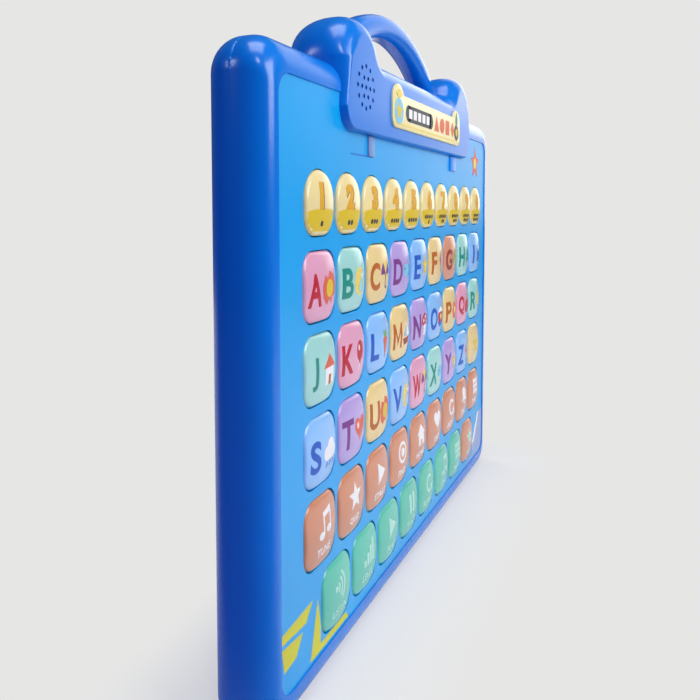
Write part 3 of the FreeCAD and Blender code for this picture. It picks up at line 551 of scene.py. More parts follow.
def handle():
    """The arch of the carry handle, a tube that ends inside the humps."""
    radius = ARCH_OUTER - ARCH_THICK / 2
    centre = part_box("carry_handle")[1].z - ARCH_OUTER
    middle = ARCH_FRONT + ARCH_DEPTH / 2
    start = acos(ARCH_END / radius)
    rings = []
    for index in range(ARCH_STEPS + 1):
        turn = start + (pi - 2 * start) * index / ARCH_STEPS
        ring = []
        for side in range(ARCH_SIDES):
            angle = 2 * pi * side / ARCH_SIDES
            out = radius + squared(cos(angle)) * ARCH_THICK / 2
            away = squared(sin(angle)) * ARCH_DEPTH / 2
            ring.append((out * cos(turn), middle + away, centre + out * sin(turn)))
        rings.append(ring)
    form = Form()
    add_loft(form, rings, case_blue)
    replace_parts(form.make("handle_arch", "case"), "carry_handle")


def squared(share):
    """A circle's sine or cosine, pushed out towards a rounded square's."""
    return copysign(abs(share) ** (2 / ARCH_SQUARENESS), share)


# Keys: puffed caps with printed legends

DOME = 56 * MM
EDGE_ROUND = 1.5 * MM
EAR_REACH = 1.5 * MM
RUN_STEPS = 6
ROUND_STEPS = 5
CAP_INNER = 0.9
CAP_FLATS = 3
CAP_SHRINKS = (0.75, 0.5, 0.25)
INK_LIFT = 0.03 * MM
INK_SINK = 0.1 * MM
INK_CELL = 1.5 * MM
SHEET_WELD = 1e-7
LETTER_RESOLUTION = 5


def corner_edge(corner, over, above):
    """How far a place lies inside a rounded corner, by how far it lies past the corner's centre."""
    if over > 0 and above > 0:
        return corner - hypot(over, above)
    return corner - max(over, above)


class SquareCap:
    """A rounded square cap."""

    def __init__(self, half, corner):
        self.half = half
        self.corner = corner

    def ring(self, inset):
        size = self.half * 2
        return rounded_ring(0, 0, size, size, self.corner, inset, runs=RUN_STEPS)

    def edge(self, u, v):
        """How far a place lies inside the outline."""
        reach = self.half - self.corner
        return corner_edge(self.corner, abs(u) - reach, abs(v) - reach)


class ArchCap:
    """A cap with a round top, upright sides and rounded lower corners."""

    def __init__(self, half, rise, corner):
        self.half = half
        self.rise = rise
        self.corner = corner

    def ring(self, inset):
        reach = self.half - self.corner
        low = self.corner - self.rise
        radius = self.corner - inset
        return joined_arcs([
            arc_points(reach, low, radius, 270, 360, ARC_STEPS),
            arc_points(0, self.rise - self.half, self.half - inset, 0, 180, ARC_STEPS * 3),
            arc_points(-reach, low, radius, 180, 270, ARC_STEPS),
        ], RUN_STEPS)

    def edge(self, u, v):
        above = v - (self.rise - self.half)
        if above > 0:
            return self.half - hypot(u, above)
        reach = self.half - self.corner
        return corner_edge(self.corner, abs(u) - reach, self.corner - self.rise - v)


def cap_depth(u, v, edge):
    """How far the cap's skin lies behind its crown: the dome, and the rounding near its edge."""
    depth = DOME - sqrt(DOME ** 2 - u ** 2 - v ** 2)
    if edge < EDGE_ROUND:
        depth += EDGE_ROUND - sqrt(EDGE_ROUND ** 2 - (EDGE_ROUND - max(edge, 0)) ** 2)
    return depth


def add_cap(form, cap, x, z, material):
    """A domed cap about (x, z): its rounded edge, then rings that shrink towards the crown."""
    insets = [EDGE_ROUND * share for share, _ in round_over(ROUND_STEPS)]
    inner = cap.corner * CAP_INNER
    edge = insets[-1]
    insets += [edge + (inner - edge) * (step + 1) / CAP_FLATS for step in range(CAP_FLATS)]
    rows = [(cap.ring(inset), inset) for inset in insets]
    for share in CAP_SHRINKS:
        rows.append(([(u * share, v * share) for u, v in cap.ring(inner)], EDGE_ROUND))
    rings = [[(x + u, key_rear, z + v) for u, v in cap.ring(0)]]
    for ring, inset in rows:
        rings.append([(x + u, key_front + cap_depth(u, v, inset), z + v) for u, v in ring])
    add_loft(form, rings, material, crown=(x, key_front, z))


def flat_sheet(polygons, scale=1):
    """A flat mesh of polygons given as (across, up), brought to a scale."""
    sheet = bmesh.new()
    for polygon in polygons:
        sheet.faces.new([sheet.verts.new((u * scale, v * scale, 0)) for u, v in polygon])
    bmesh.ops.triangulate(sheet, faces=sheet.faces[:])
    return sheet


def word_sheet(text, width, height, weight):
    """A flat mesh of plain lettering, as high as given and no wider than given, about the origin."""
    curve = bpy.data.curves.new("legend", "FONT")
    curve.body = text
    curve.size = height
    curve.offset = weight
    curve.resolution_u = LETTER_RESOLUTION
    curve.fill_mode = "FRONT"
    holder = new_object("legend", curve)
    bpy.context.view_layer.update()
    mesh = bpy.data.meshes.new_from_object(holder)
    sheet = bmesh.new()
    sheet.from_mesh(mesh)
    bpy.data.objects.remove(holder)
    bpy.data.curves.remove(curve)
    bpy.data.meshes.remove(mesh)
    bmesh.ops.remove_doubles(sheet, verts=sheet.verts[:], dist=SHEET_WELD)
    low = [min(vert.co[axis] for vert in sheet.verts) for axis in (0, 1)]
    high = [max(vert.co[axis] for vert in sheet.verts) for axis in (0, 1)]
    tall = height / (high[1] - low[1])
    wide = min(tall, width / (high[0] - low[0]))
    for vert in sheet.verts:
        vert.co.x = (vert.co.x - (low[0] + high[0]) / 2) * wide
        vert.co.y = (vert.co.y - (low[1] + high[1]) / 2) * tall
    return sheet


def cut_cells(sheet, cell):
    """Cut a flat mesh into small cells, so that it can follow a curved surface."""
    for axis, normal in ((0, (1, 0, 0)), (1, (0, 1, 0))):
        values = [vert.co[axis] for vert in sheet.verts]
        first = ceil(min(values) / cell)
        last = floor(max(values) / cell)
        for index in range(first, last + 1):
            everything = sheet.verts[:] + sheet.edges[:] + sheet.faces[:]
            bmesh.ops.bisect_plane(sheet, geom=everything, dist=SHEET_WELD, plane_no=normal,
                                   plane_co=[value * index * cell for value in normal])


def add_ink(form, sheet, ink, surface, x, z, layer=0, cell=INK_CELL, way=-1):
    """Print a flat mesh on a surface: surface(u, v) gives the skin's Y, x and z the print's middle, and
    way is -1 on a skin that faces the front and 1 on one that faces the back."""
    if cell:
        cut_cells(sheet, cell)
    sheet.verts.index_update()
    lift = INK_LIFT * (layer + 1)
    outer = []
    inner = []
    for vert in sheet.verts:
        u = x + vert.co.x
        v = z + vert.co.y
        depth = surface(u, v)
        outer.append((u, depth + way * lift, v))
        inner.append((u, depth - way * INK_SINK, v))
    count = len(outer)
    faces = []
    for face in sheet.faces:
        indices = [vert.index for vert in face.verts]
        faces.append(indices)
        faces.append([count + index for index in reversed(indices)])
    for edge in sheet.edges:
        if len(edge.link_faces) == 1:
            a, b = (vert.index for vert in edge.verts)
            faces.append((a, b, count + b, count + a))
    sheet.free()
    form.add(outer + inner, faces, inks[ink])


# Small pictures and signs, in millimetres and about 9 mm across. A picture lists its inks, each with the
# polygons that it prints, and a sign is polygons alone.

HEART_STEPS = 28
HEART_HALF = 16
HORN_ACROSS = 0.5
HORN_UP = 0.866
MOON_STEPS = 18
BELL_STEPS = 12


def disc(x, z, across, up=None, steps=24):
    up = across if up is None else up
    turns = [2 * pi * index / steps for index in range(steps)]
    return [(x + across * cos(turn), z + up * sin(turn)) for turn in turns]


def bar(x0, z0, x1, z1, width):
    length = hypot(x1 - x0, z1 - z0)
    across = (z0 - z1) / length * width / 2
    up = (x1 - x0) / length * width / 2
    return [(x0 + across, z0 + up), (x0 - across, z0 - up), (x1 - across, z1 - up), (x1 + across, z1 + up)]


def block(x0, z0, x1, z1):
    return [(x0, z0), (x1, z0), (x1, z1), (x0, z1)]


def star_shape(x, z, outer, inner, tips):
    points = []
    for index in range(tips * 2):
        radius = inner if index % 2 else outer
        turn = pi / 2 + pi * index / tips
        points.append((x + radius * cos(turn), z + radius * sin(turn)))
    return points


def leaf_shape(x, z, length, width, turn, steps=10):
    points = []
    for side in (1, -1):
        for index in range(steps):
            share = index / steps if side > 0 else 1 - index / steps
            along = (share - 0.5) * length
            aside = side * sin(pi * share) * width / 2
            angle = radians(turn)
            points.append((x + along * cos(angle) - aside * sin(angle),
                           z + along * sin(angle) + aside * cos(angle)))
    return points


def ring_shape(x, z, radius, width, start=0, stop=360, steps=20):
    """A band along an arc, as quads."""
    outer = arc_points(x, z, radius, start, stop, steps)
    inner = arc_points(x, z, radius - width, start, stop, steps)
    return [[outer[i], outer[i + 1], inner[i + 1], inner[i]] for i in range(steps)]


def heart_shape(size):
    """The usual heart curve, brought to a size."""
    points = []
    for index in range(HEART_STEPS):
        turn = 2 * pi * index / HEART_STEPS
        across = HEART_HALF * sin(turn) ** 3
        up = 13 * cos(turn) - 5 * cos(2 * turn) - 2 * cos(3 * turn) - cos(4 * turn)
        points.append((across * size / HEART_HALF, (up + 2) * size / HEART_HALF))
    return points


def crescent(radius, bite):
    """A moon: an arc from horn to horn, and back along a circle that lies aside by a share, the bite."""
    gap = radius * (HORN_ACROSS - bite)
    rise = radius * HORN_UP
    start = degrees(atan2(-rise, gap))
    inner = arc_points(radius * bite, 0, hypot(gap, rise), start, -360 - start, MOON_STEPS)
    return arc_points(0, 0, radius, 60, 300, MOON_STEPS) + inner[1:-1]


def bell_shape(lip, foot, half, waist, crown):
    """A bell: a round crown on straight sides, which flare to a lip."""
    dome = arc_points(0, crown, half, 180, 0, BELL_STEPS)
    return [(-lip, foot), (-half, waist)] + dome + [(half, waist), (lip, foot)]


PICTURES = {
    "sun": [("coral", star_shape(0, 0, 5.2, 3.2, 9)), ("gold", disc(0, 0, 2.7))],
    "fish": [("navy", [(1.8, 0), (4.9, 2.6), (4.1, 0), (4.9, -2.6)]), ("sky", disc(-0.9, 0, 3.9, 2.5)),
             ("black", disc(-2.9, 0.7, 0.55))],
    "leaf": [("leaf", leaf_shape(0, 0.3, 10, 5.4, 58)), ("white", bar(-2.6, -4.2, 1.8, 3.2, 0.5))],
    "house": [("white", block(-3.2, -4.4, 3.2, 0.8)), ("coral", [(-4.4, 0.8), (4.4, 0.8), (0, 4.8)]),
              ("brown", block(-0.9, -4.4, 0.9, -1.4))],
    "boat": [("rust", [(-4.5, -1.7), (-2.9, -4.3), (2.9, -4.3), (4.5, -1.7)]),
             ("white", [(0.2, -1), (3.9, -1), (0.2, 4.8)]),
             ("sky", [(-0.5, -1), (-3.3, -1), (-0.5, 3.4)])],
    "flower": [("coral", *[disc(2.7 * cos(turn), 2.7 * sin(turn), 1.7, steps=14)
                           for turn in [pi / 3 * index for index in range(6)]]),
               ("straw", disc(0, 0, 1.9))],
    "cloud": [("white", disc(-2.2, -0.6, 2.2), disc(0.6, 0.8, 2.8), disc(2.9, -0.8, 1.9),
                        block(-2.2, -2.8, 2.9, -0.8)),
              ("navy", *[bar(x, -3.4, x - 0.8, -4.8, 0.6) for x in (-1.8, 0.6, 3)])],
    "moon": [("straw", crescent(4.6, 0.42)), ("white", star_shape(2.4, 1.6, 1.5, 0.7, 5))],
    "star": [("gold", star_shape(0, 0, 5, 2.2, 5)), ("straw", star_shape(0, 0, 2.8, 1.3, 5))],
    "tree": [("rust", block(-0.8, -4.8, 0.8, -2.2)),
             ("teal", [(-3.8, -2.2), (3.8, -2.2), (0, 2)], [(-2.9, 0.4), (2.9, 0.4), (0, 4.9)])],
    "balloon": [("white", bar(0, -2, -0.7, -5, 0.5)),
                ("red", disc(0, 1.5, 2.9, 3.4), [(-0.8, -2.6), (0.8, -2.6), (0, -1.6)]),
                ("white", disc(-1.1, 2.6, 0.6, 1))],
    "mushroom": [("white", [(-1.4, 0.4), (-1.9, -4.4), (1.9, -4.4), (1.4, 0.4)]),
                 ("red", arc_points(0, 0, 4.6, 0, 180)),
                 ("white", disc(-2, 1.7, 0.8), disc(1, 2.9, 0.8), disc(2.5, 0.9, 0.6))],
    "apple": [("red", disc(-1.3, -0.9, 2.9, 3.3), disc(1.3, -0.9, 2.9, 3.3)),
              ("leaf", leaf_shape(1.6, 3.6, 3.6, 1.9, 30)), ("brown", bar(0, 1.6, 0.3, 4, 0.6))],
    "heart": [("coral", heart_shape(4.6)), ("white", disc(-2, 1.4, 0.8, 1.1))],
    "umbrella": [("black", bar(0, 0.6, 0, -3.6, 0.6), *ring_shape(0.9, -3.6, 1.2, 0.6, 180, 360, 8)),
                 ("violet", arc_points(0, 0.4, 4.6, 0, 180)),
                 ("straw", arc_points(0, 0.4, 4.6, 60, 120) + [(0, 0.4)])],
    "kite": [("coral", [(-3.4, 1.2), (0, -3), (0, 5)]), ("sky", [(0, -3), (3.4, 1.2), (0, 5)]),
             ("black", bar(0, -3, 1.4, -5, 0.5))],
    "cup": [("white", *[bar(x, 2.4, x + 0.5, 4.6, 0.6) for x in (-1.8, 0, 1.8)]),
            ("grey", *ring_shape(3, -1, 2, 0.8, -90, 90, 10)),
            ("navy", [(-3.4, 1.4), (-2.5, -4), (2, -4), (2.9, 1.4)])],
    "carrot": [("leaf", *[leaf_shape(x, 3.2, 3.8, 1.3, turn) for x, turn in ((-1, 115), (0, 90), (1, 65))]),
               ("coral", [(-2.3, 1.6), (-1.6, 2.3), (1.6, 2.3), (2.3, 1.6), (0, -5)])],
    "ball": [("red", disc(0, 0, 4.4)), ("white", arc_points(0, 0, 4.4, 30, 150)),
             ("navy", arc_points(0, 0, 4.4, 210, 330)), ("straw", disc(0, 0, 1.4))],
    "bell": [("brown", disc(0, -3.2, 1.1)), ("gold", bell_shape(3.9, -2.6, 2.7, -1.4, 1.4))],
}
SIGNS = {
    "note": [disc(-2, -3, 1.7, 1.3), disc(2.8, -2, 1.7, 1.3), bar(-0.6, -3, -0.6, 3.4, 0.8),
             bar(4.1, -2, 4.1, 4.4, 0.8), [(-1, 2.2), (4.5, 3.2), (4.5, 5), (-1, 4)]],
    "star": [star_shape(0, 0, 5, 2.2, 5)],
    "play": [[(-2.6, -4), (4.2, 0), (-2.6, 4)]],
    "pause": [block(-3, -4, -0.8, 4), block(0.8, -4, 3, 4)],
    "target": ring_shape(0, 0, 4.4, 1.2) + [disc(0, 0, 1.8)],
    "home": [block(-3.4, -4.2, -0.9, 0.6), block(0.9, -4.2, 3.4, 0.6), block(-0.9, -1.6, 0.9, 0.6),
             [(-4.8, 0.6), (4.8, 0.6), (0, 4.8)]],
    "heart": [heart_shape(4.6)],
    "loop": ring_shape(0, 0, 4, 1.3, 40, 330) + [[(1.4, -1.4), (5.2, -0.6), (3.4, -4.2)]],
    "chime": [bell_shape(4.2, -2.4, 2.9, -1.2, 1.6), arc_points(0, -3, 1.3, 180, 360)],
    "grid": [block(x, z, x + 2.4, z + 2.4) for x in (-4, -1.2, 1.6) for z in (-4, -1.2, 1.6)],
    "steps": [block(-4 + 2.4 * i, -4, -2.2 + 2.4 * i, -1.6 + 1.9 * i) for i in range(4)],
    "waves": [quad for radius in (2.4, 4.4, 6.4) for quad in ring_shape(-3, 0, radius, 1, -50, 50, 10)]
             + [disc(-3, 0, 1)],
}
MODE_SIGNS = "note star play target home heart loop chime grid"
MODE_WORDS = "TUNE QUIZ START FIND HOME LIKE AGAIN BELL TABLE"
MODE_TONES = "copper " * 9
LOWER_SIGNS = "waves steps play pause loop note grid star"
LOWER_WORDS = "LISTEN LEVEL PLAY WAIT REPEAT SONG MENU BEST"
LOWER_TONES = "green " * 7 + "copper"


def add_picture(form, picture, surface, x=0, z=0, scale=1, cell=INK_CELL):
    """Print a picture on a surface, one layer for each ink."""
    for layer, (ink, *polygons) in enumerate(picture):
        add_ink(form, flat_sheet(polygons, scale * MM), ink, surface, x, z, layer, cell)


LETTER_INKS = {"pink": "red", "mint": "teal", "yellow": "brown", "purple": "violet", "blue": "navy",
               "orange": "rust"}
LETTER_ROWS = (
    ("abcdefghi", "pink mint yellow purple blue yellow orange mint blue"),
    ("jklmnopqr", "mint pink blue yellow purple blue yellow pink mint"),
    ("stuvwxyz*", "blue purple yellow blue pink mint purple blue yellow"),
)
KEY_CORNER = 7 * MM
NUMBER_CORNER = 8 * MM
LETTER_WIDTH = 9.4 * MM
LETTER_HEIGHT = 12.6 * MM
LETTER_WEIGHT = 0.4 * MM
LETTER_ASIDE = 6.6 * MM
PICTURE_ASIDE = 5 * MM
PICTURE_SCALE = 1.3
PICTURE_STRIDE = 7
STAR_SCALE = 1.5
LEGEND_DROP = 1 * MM
DIGIT_WIDTH = 9 * MM
DIGIT_HEIGHT = 10.5 * MM
DIGIT_WEIGHT = 0.75 * MM
DIGIT_RISE = 2.6 * MM
DIGIT_ASIDE = -1.6 * MM
DIGIT_SHADOW = 0.6 * MM
BAND_INSET = 0.7 * MM
BAND_TOP = -3.8 * MM
BAND_CREST = 1.6 * MM
BAND_TURN = 3 * MM
BAND_STEPS = 12
PIPS_ACROSS = 5
PIP_PITCH = 2.8 * MM
PIP_TOP = -6.4 * MM
PIP_RADIUS = 1.15 * MM
PIP_SIDES = 12


def middle_of(node):
    low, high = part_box(node)
    return (low + high) / 2


def halves_of(node):
    """Half a node's width and half its height."""
    low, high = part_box(node)
    return (high.x - low.x) / 2, (high.z - low.z) / 2


letter_cap = SquareCap(halves_of("key_a")[0], KEY_CORNER)
number_half, number_rise = halves_of("key_1")
number_cap = ArchCap(number_half, number_rise - EAR_REACH, NUMBER_CORNER)


def blank_key(cap, x, z, tone):
    """A form with a cap about (x, z), and a function for the Y of its skin by place on the board."""
    form = Form()
    add_cap(form, cap, x, z, caps[tone])
    return form, lambda u, v: key_front + cap_depth(u - x, v - z, cap.edge(u - x, v - z))


# The right half of a plain M, in shares of a letter's half width and half height
HALF_M = ((0, -0.2), (0.648, 1), (1, 1), (1, -1), (0.56, -1), (0.56, 0.3), (0, -0.75))


def letter_sheet(letter):
    """A capital letter; the M is drawn, because the stock font can't give it at this weight."""
    if letter != "m":
        return word_sheet(letter.upper(), LETTER_WIDTH, LETTER_HEIGHT, LETTER_WEIGHT)
    half = [(u * LETTER_WIDTH / 2, v * LETTER_HEIGHT / 2) for u, v in HALF_M]
    return flat_sheet([half, [(-u, v) for u, v in reversed(half)]])


def letter_key(node, letter, tone, picture):
    place = middle_of(node)
    form, surface = blank_key(letter_cap, place.x, place.z, tone)
    if letter == "*":
        add_picture(form, PICTURES["star"], surface, place.x, place.z, STAR_SCALE)
    else:
        level = place.z - LEGEND_DROP
        add_ink(form, letter_sheet(letter), LETTER_INKS[tone], surface, place.x - LETTER_ASIDE, level)
        add_picture(form, picture, surface, place.x + PICTURE_ASIDE, level, PICTURE_SCALE)
    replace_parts(form.make(node + "_cap", node), node)


def letter_keys():
    pictures = list(PICTURES.values())
    count = 0
    for letters, tones in LETTER_ROWS:
        for letter, tone in zip(letters, tones.split()):
            node = "key_star" if letter == "*" else "key_" + letter
            letter_key(node, letter, tone, pictures[count * PICTURE_STRIDE % len(pictures)])
            count += 1


def lower_band():
    """The darker band along the foot of a number cap, with a low crest for its upper edge."""
    lower = [(u, v) for u, v in number_cap.ring(BAND_INSET) if v < BAND_TOP]
    lower.sort(key=lambda point: atan2(point[0], BAND_TOP + BAND_TURN - point[1]))
    side = number_cap.half - BAND_INSET
    turns = [pi * index / BAND_STEPS for index in range(BAND_STEPS + 1)]
    return lower + [(side * cos(turn), BAND_TOP + BAND_CREST * sin(turn)) for turn in turns]


def pips(dots):
    """As many dots as a key counts, in one row, or in two where there are more than fit across."""
    spots = []
    for index in range(dots):
        row, column = divmod(index, PIPS_ACROSS)
        in_row = min(PIPS_ACROSS, dots - row * PIPS_ACROSS)
        drop = row if dots > PIPS_ACROSS else 0.5
        x = (column - (in_row - 1) / 2) * PIP_PITCH + DIGIT_ASIDE / 2
        spots.append(disc(x, PIP_TOP - PIP_PITCH * drop, PIP_RADIUS, steps=PIP_SIDES))
    return spots


def number_key(digit, dots):
    node = "key_" + digit
    place = middle_of(node)
    form, surface = blank_key(number_cap, place.x, place.z, "cream")
    add_ink(form, flat_sheet([lower_band()]), "gold", surface, place.x, place.z)
    for layer, (ink, aside) in enumerate((("black", DIGIT_SHADOW), ("amber", 0))):
        legend = word_sheet(digit, DIGIT_WIDTH, DIGIT_HEIGHT, DIGIT_WEIGHT)
        add_ink(form, legend, ink, surface, place.x + DIGIT_ASIDE + aside, place.z + DIGIT_RISE, layer + 1)
    add_ink(form, flat_sheet(pips(dots)), "black", surface, place.x, place.z, 1)
    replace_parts(form.make(node + "_cap", node), node)


SIGN_RISE = 2.6 * MM
SIGN_SCALE = 1.25
WORD_WIDTH = 19 * MM
WORD_HEIGHT = 3.2 * MM
WORD_WEIGHT = 0.05 * MM
WORD_DROP = 7.4 * MM


def row_keys(node, signs, words, tones, ink):
    """A row of sign keys that share one node."""
    low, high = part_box(node)
    z = middle_of(node).z
    size = letter_cap.half * 2
    keys = list(zip(signs.split(), words.split(), tones.split()))
    pitch = (high.x - low.x - size) / (len(keys) - 1)
    for index, (sign, word, tone) in enumerate(keys):
        x = low.x + size / 2 + pitch * index
        form, surface = blank_key(letter_cap, x, z, tone)
        add_picture(form, [(ink, *SIGNS[sign])], surface, x, z + SIGN_RISE, SIGN_SCALE)
        legend = word_sheet(word, WORD_WIDTH, WORD_HEIGHT, WORD_WEIGHT)
        add_ink(form, legend, ink, surface, x, z - WORD_DROP)
        piece = form.make("%s_cap_%d" % (node, index + 1), node)
        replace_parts(piece, node)


# Plaque, tabs, prints and a pale patch on the front

BADGE_LEFT = -52 * MM
BADGE_RIGHT = 65 * MM
BADGE_FOOT = 225 * MM
BADGE_TOP = 241 * MM
BADGE_CORNER = 5 * MM
BADGE_BUMP = 8 * MM
BADGE_BUMP_Z = 237.6 * MM
BADGE_EDGE = 0.3 * MM
BADGE_BEVEL = 0.3
BADGE_BUMP_STEPS = 18


def badge_ring(inset):
    """The plaque's outline: a long label with a round bump at either end of its top."""
    corner = BADGE_CORNER - inset
    bump = BADGE_BUMP - inset
    meet = degrees(asin((BADGE_TOP - inset - BADGE_BUMP_Z) / bump))
    foot_z = BADGE_FOOT + BADGE_CORNER
    arcs = [arc_points(BADGE_RIGHT - BADGE_CORNER, foot_z, corner, 270, 360, ARC_STEPS),
            arc_points(BADGE_RIGHT - BADGE_BUMP, BADGE_BUMP_Z, bump, 0, 180 - meet, BADGE_BUMP_STEPS)]
    return joined_arcs(mirrored(arcs, (BADGE_LEFT + BADGE_RIGHT) / 2))


# Prints on the plaque and the plate, and a pale lilac patch with a white streak at the plate's lower right
# corner, in millimetres on the board, from the lowest layer up
BADGE_PRINT = (
    ("straw", block(-49.5, 226.6, 62.5, 227.6)),
    ("black", disc(-30, 233.4, 4), block(-30, 229.4, 6, 237.4), disc(6, 233.4, 4), disc(57, 232.4, 4.6)),
    ("white", *[block(-29.5 + 7 * index, 231.2, -24.5 + 7 * index, 235.6) for index in range(5)]),
    ("coral", [(13, 229.4), (21, 229.4), (17, 237.6)], disc(27.4, 233.4, 4.1),
              block(34.5, 229.4, 41.5, 237.4), [(45, 233.4), (48.5, 229.2), (52, 233.4), (48.5, 237.6)]),
    ("sky", disc(-43.6, 233, 6)),
    ("teal", leaf_shape(57, 240, 9, 4, 90)),
    ("gold", star_shape(-43.6, 233, 4.6, 2.2, 5), disc(57, 232.4, 2.4)),
    ("straw", leaf_shape(-43.6, 241.2, 9, 4, 0)),
)
PLATE_PRINTS_AND_PATCH = (
    ("lemon", [(-150.6, 36.5), (-126.5, 37.5), (-132, 31.5), (-150.6, 33)],
              [(-150.6, 31.2), (-134.5, 29.4), (-140, 22.8), (-149, 22)],
              [(-122, 36), (-128.5, 13.8), (-93, 13.6), (-95.5, 16.6), (-119.6, 16.6), (-119.6, 24)]),
    ("deep", block(-90, 209.7, -65.5, 210.3)),
    ("coral", star_shape(121, 218, 11, 5.2, 5)),
    ("straw", disc(121, 218, 3.6)),
    # A pale lilac patch at the plate's lower right corner, with a white streak along its upper left edge
    ("lilac", [(100, 13.4), (140.5, 13.4), (145.4, 15.5), (147.5, 20.4), (147.5, 42), (139, 42),
               (125.5, 23.5), (119.9, 23.5), (119.9, 16.4), (114, 15)]),
    ("white", [(119.9, 23.5), (125.5, 23.5), (139, 42), (135.5, 42)]),
)


def badge():
    bevel = BADGE_EDGE * BADGE_BEVEL
    rows = [(0, header_front + SUNK), (0, badge_front + BADGE_EDGE), (bevel, badge_front + bevel),
            (BADGE_EDGE, badge_front)]
    form = Form()
    add_rows(form, rows, badge_ring, plaque_cream)
    add_picture(form, BADGE_PRINT, lambda u, v: badge_front, cell=0)
    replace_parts(form.make("plaque", "case"), "header_badge")


def plate_prints_and_patch():
    form = Form()
    add_picture(form, PLATE_PRINTS_AND_PATCH, lambda u, v: plate_front - PLATE_SKIN, cell=0)
    form.make("plate_prints_and_patch", "case")


TAB_FOOT = 210 * MM
TAB_TOP = 219 * MM
TAB_EDGE = 0.4 * MM
TABS = ((-68.5 * MM, 7 * MM, tab_lavender), (64 * MM, 12 * MM, tab_azure))


def tabs():
    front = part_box("header_tabs")[0].y
    z = (TAB_FOOT + TAB_TOP) / 2
    form = Form()
    for x, width, material in TABS:
        add_slab(form, x, z, width, TAB_TOP - TAB_FOOT, TAB_EDGE * 2, plate_front + HAIR, front, TAB_EDGE,
                 material)
    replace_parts(form.make("tabs", "case"), "header_tabs")


# Back: rubber pads, ridges on the battery door, and marks by the switch, whose ink is in millimetres

PAD_SIZE = 14 * MM
PAD_EDGE = 0.5 * MM
RIDGE_WIDTH = 24 * MM
RIDGE_HEIGHT = 1.4 * MM
RIDGE_PITCH = 3 * MM
RIDGE_COUNT = 4
RIDGE_DROP = 16 * MM
RIDGE_RISE = 0.5 * MM
RIDGE_ROUND = 0.9
MARK_ASIDE = 13 * MM
MARK_INK = 0.8
MARK_HALF = 2.4


def back_pads():
    low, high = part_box("back_pads")
    size = PAD_SIZE
    form = Form()
    for x in (low.x + size / 2, high.x - size / 2):
        for z in (low.z + size / 2, high.z - size / 2):
            add_slab(form, x, z, size, size, size / 2, low.y + HAIR, high.y, PAD_EDGE, dark_rubber)
    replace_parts(form.make("pads", "case"), "back_pads")


def door_ridges():
    low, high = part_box("battery_door")
    x = (low.x + high.x) / 2
    form = Form()
    for index in range(RIDGE_COUNT):
        z = high.z - RIDGE_DROP - RIDGE_PITCH * index
        add_slab(form, x, z, RIDGE_WIDTH, RIDGE_HEIGHT, RIDGE_HEIGHT / 2, high.y - HAIR, high.y + RIDGE_RISE,
                 RIDGE_RISE * RIDGE_ROUND, case_blue)
    form.make("door_ridges", "door")


def switch_marks():
    """A bar for on and a ring for off, printed at either side of the switch."""
    middle = middle_of("power_switch_knob")
    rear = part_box("rear_shell")[1].y - HAIR
    ring = ring_shape(0, 0, MARK_HALF, MARK_INK)
    line = [block(-MARK_INK / 2, -MARK_HALF, MARK_INK / 2, MARK_HALF)]
    form = Form()
    for side, polygons in ((-1, ring), (1, line)):
        add_ink(form, flat_sheet(polygons, MM), "white", lambda u, v: rear,
                middle.x + side * MARK_ASIDE, middle.z, cell=0, way=1)
    form.make("switch_marks", "case")


case()
header()
badge()
tabs()
plate_prints_and_patch()
back_pads()
door_ridges()
switch_marks()
letter_keys()
for dots, digit in enumerate("1234567890", start=1):
    number_key(digit, dots)
row_keys("mode_keys", MODE_SIGNS, MODE_WORDS, MODE_TONES, "white")
row_keys("lower_keys", LOWER_SIGNS, LOWER_WORDS, LOWER_TONES, "pale")


# The rest of the frame, in its own shapes

FINISHES = {
    case_blue: "battery_door",
    plate_blue: "face_plate",
    dark_plastic: "loudspeaker circuit_parts power_switch_knob power_switch_body",
    grey_rubber: "key_mat",
    board_green: "circuit_board",
    lead_red: "lead_wires",
    cell_jacket: "battery_cells",
    steel: "case_screws board_screws battery_door_screw battery_contacts",
}
for finish, names in FINISHES.items():
    for name in names.split():
        mesh = nodes[name].data
        mesh.materials.clear()
        mesh.materials.append(finish)


# Camera, light and floor

CAMERA_PLACE = Vector((-363.5, -132.6, 186.9)) * MM
CAMERA_YAW = radians(66.29)
CAMERA_PITCH = radians(3.47)
CAMERA_LENS = 36.8
CAMERA_DROP = -0.139
SENSOR_WIDTH = 36
NEAREST = 0.01
FURTHEST = 50


def look(thing, way):
    """Turn a camera or a lamp to look a given way."""
    thing.rotation_euler = way.to_track_quat("-Z", "Y").to_euler()


def camera():
    data = bpy.data.cameras.new("camera")
    data.lens = CAMERA_LENS
    data.sensor_width = SENSOR_WIDTH
    data.shift_y = CAMERA_DROP
    data.clip_start = NEAREST
    data.clip_end = FURTHEST
    holder = new_object("camera", data)
    holder.location = CAMERA_PLACE
    level = cos(CAMERA_PITCH)
    way = (sin(CAMERA_YAW) * level, cos(CAMERA_YAW) * level, -sin(CAMERA_PITCH))
    look(holder, Vector(way))
    bpy.context.scene.camera = holder


def lamp(name, place, aim, size, power, tall=None, shine=True):
    """A soft box of a size in metres and a power in watts, which may be kept out of reflections."""
    data = bpy.data.lights.new(name, "AREA")
    data.shape = "RECTANGLE"
    data.size = size
    data.size_y = tall or size
    data.energy = power
    holder = new_object(name, data)
    holder.location = place
    holder.visible_glossy = shine
    look(holder, Vector(aim) - Vector(place))


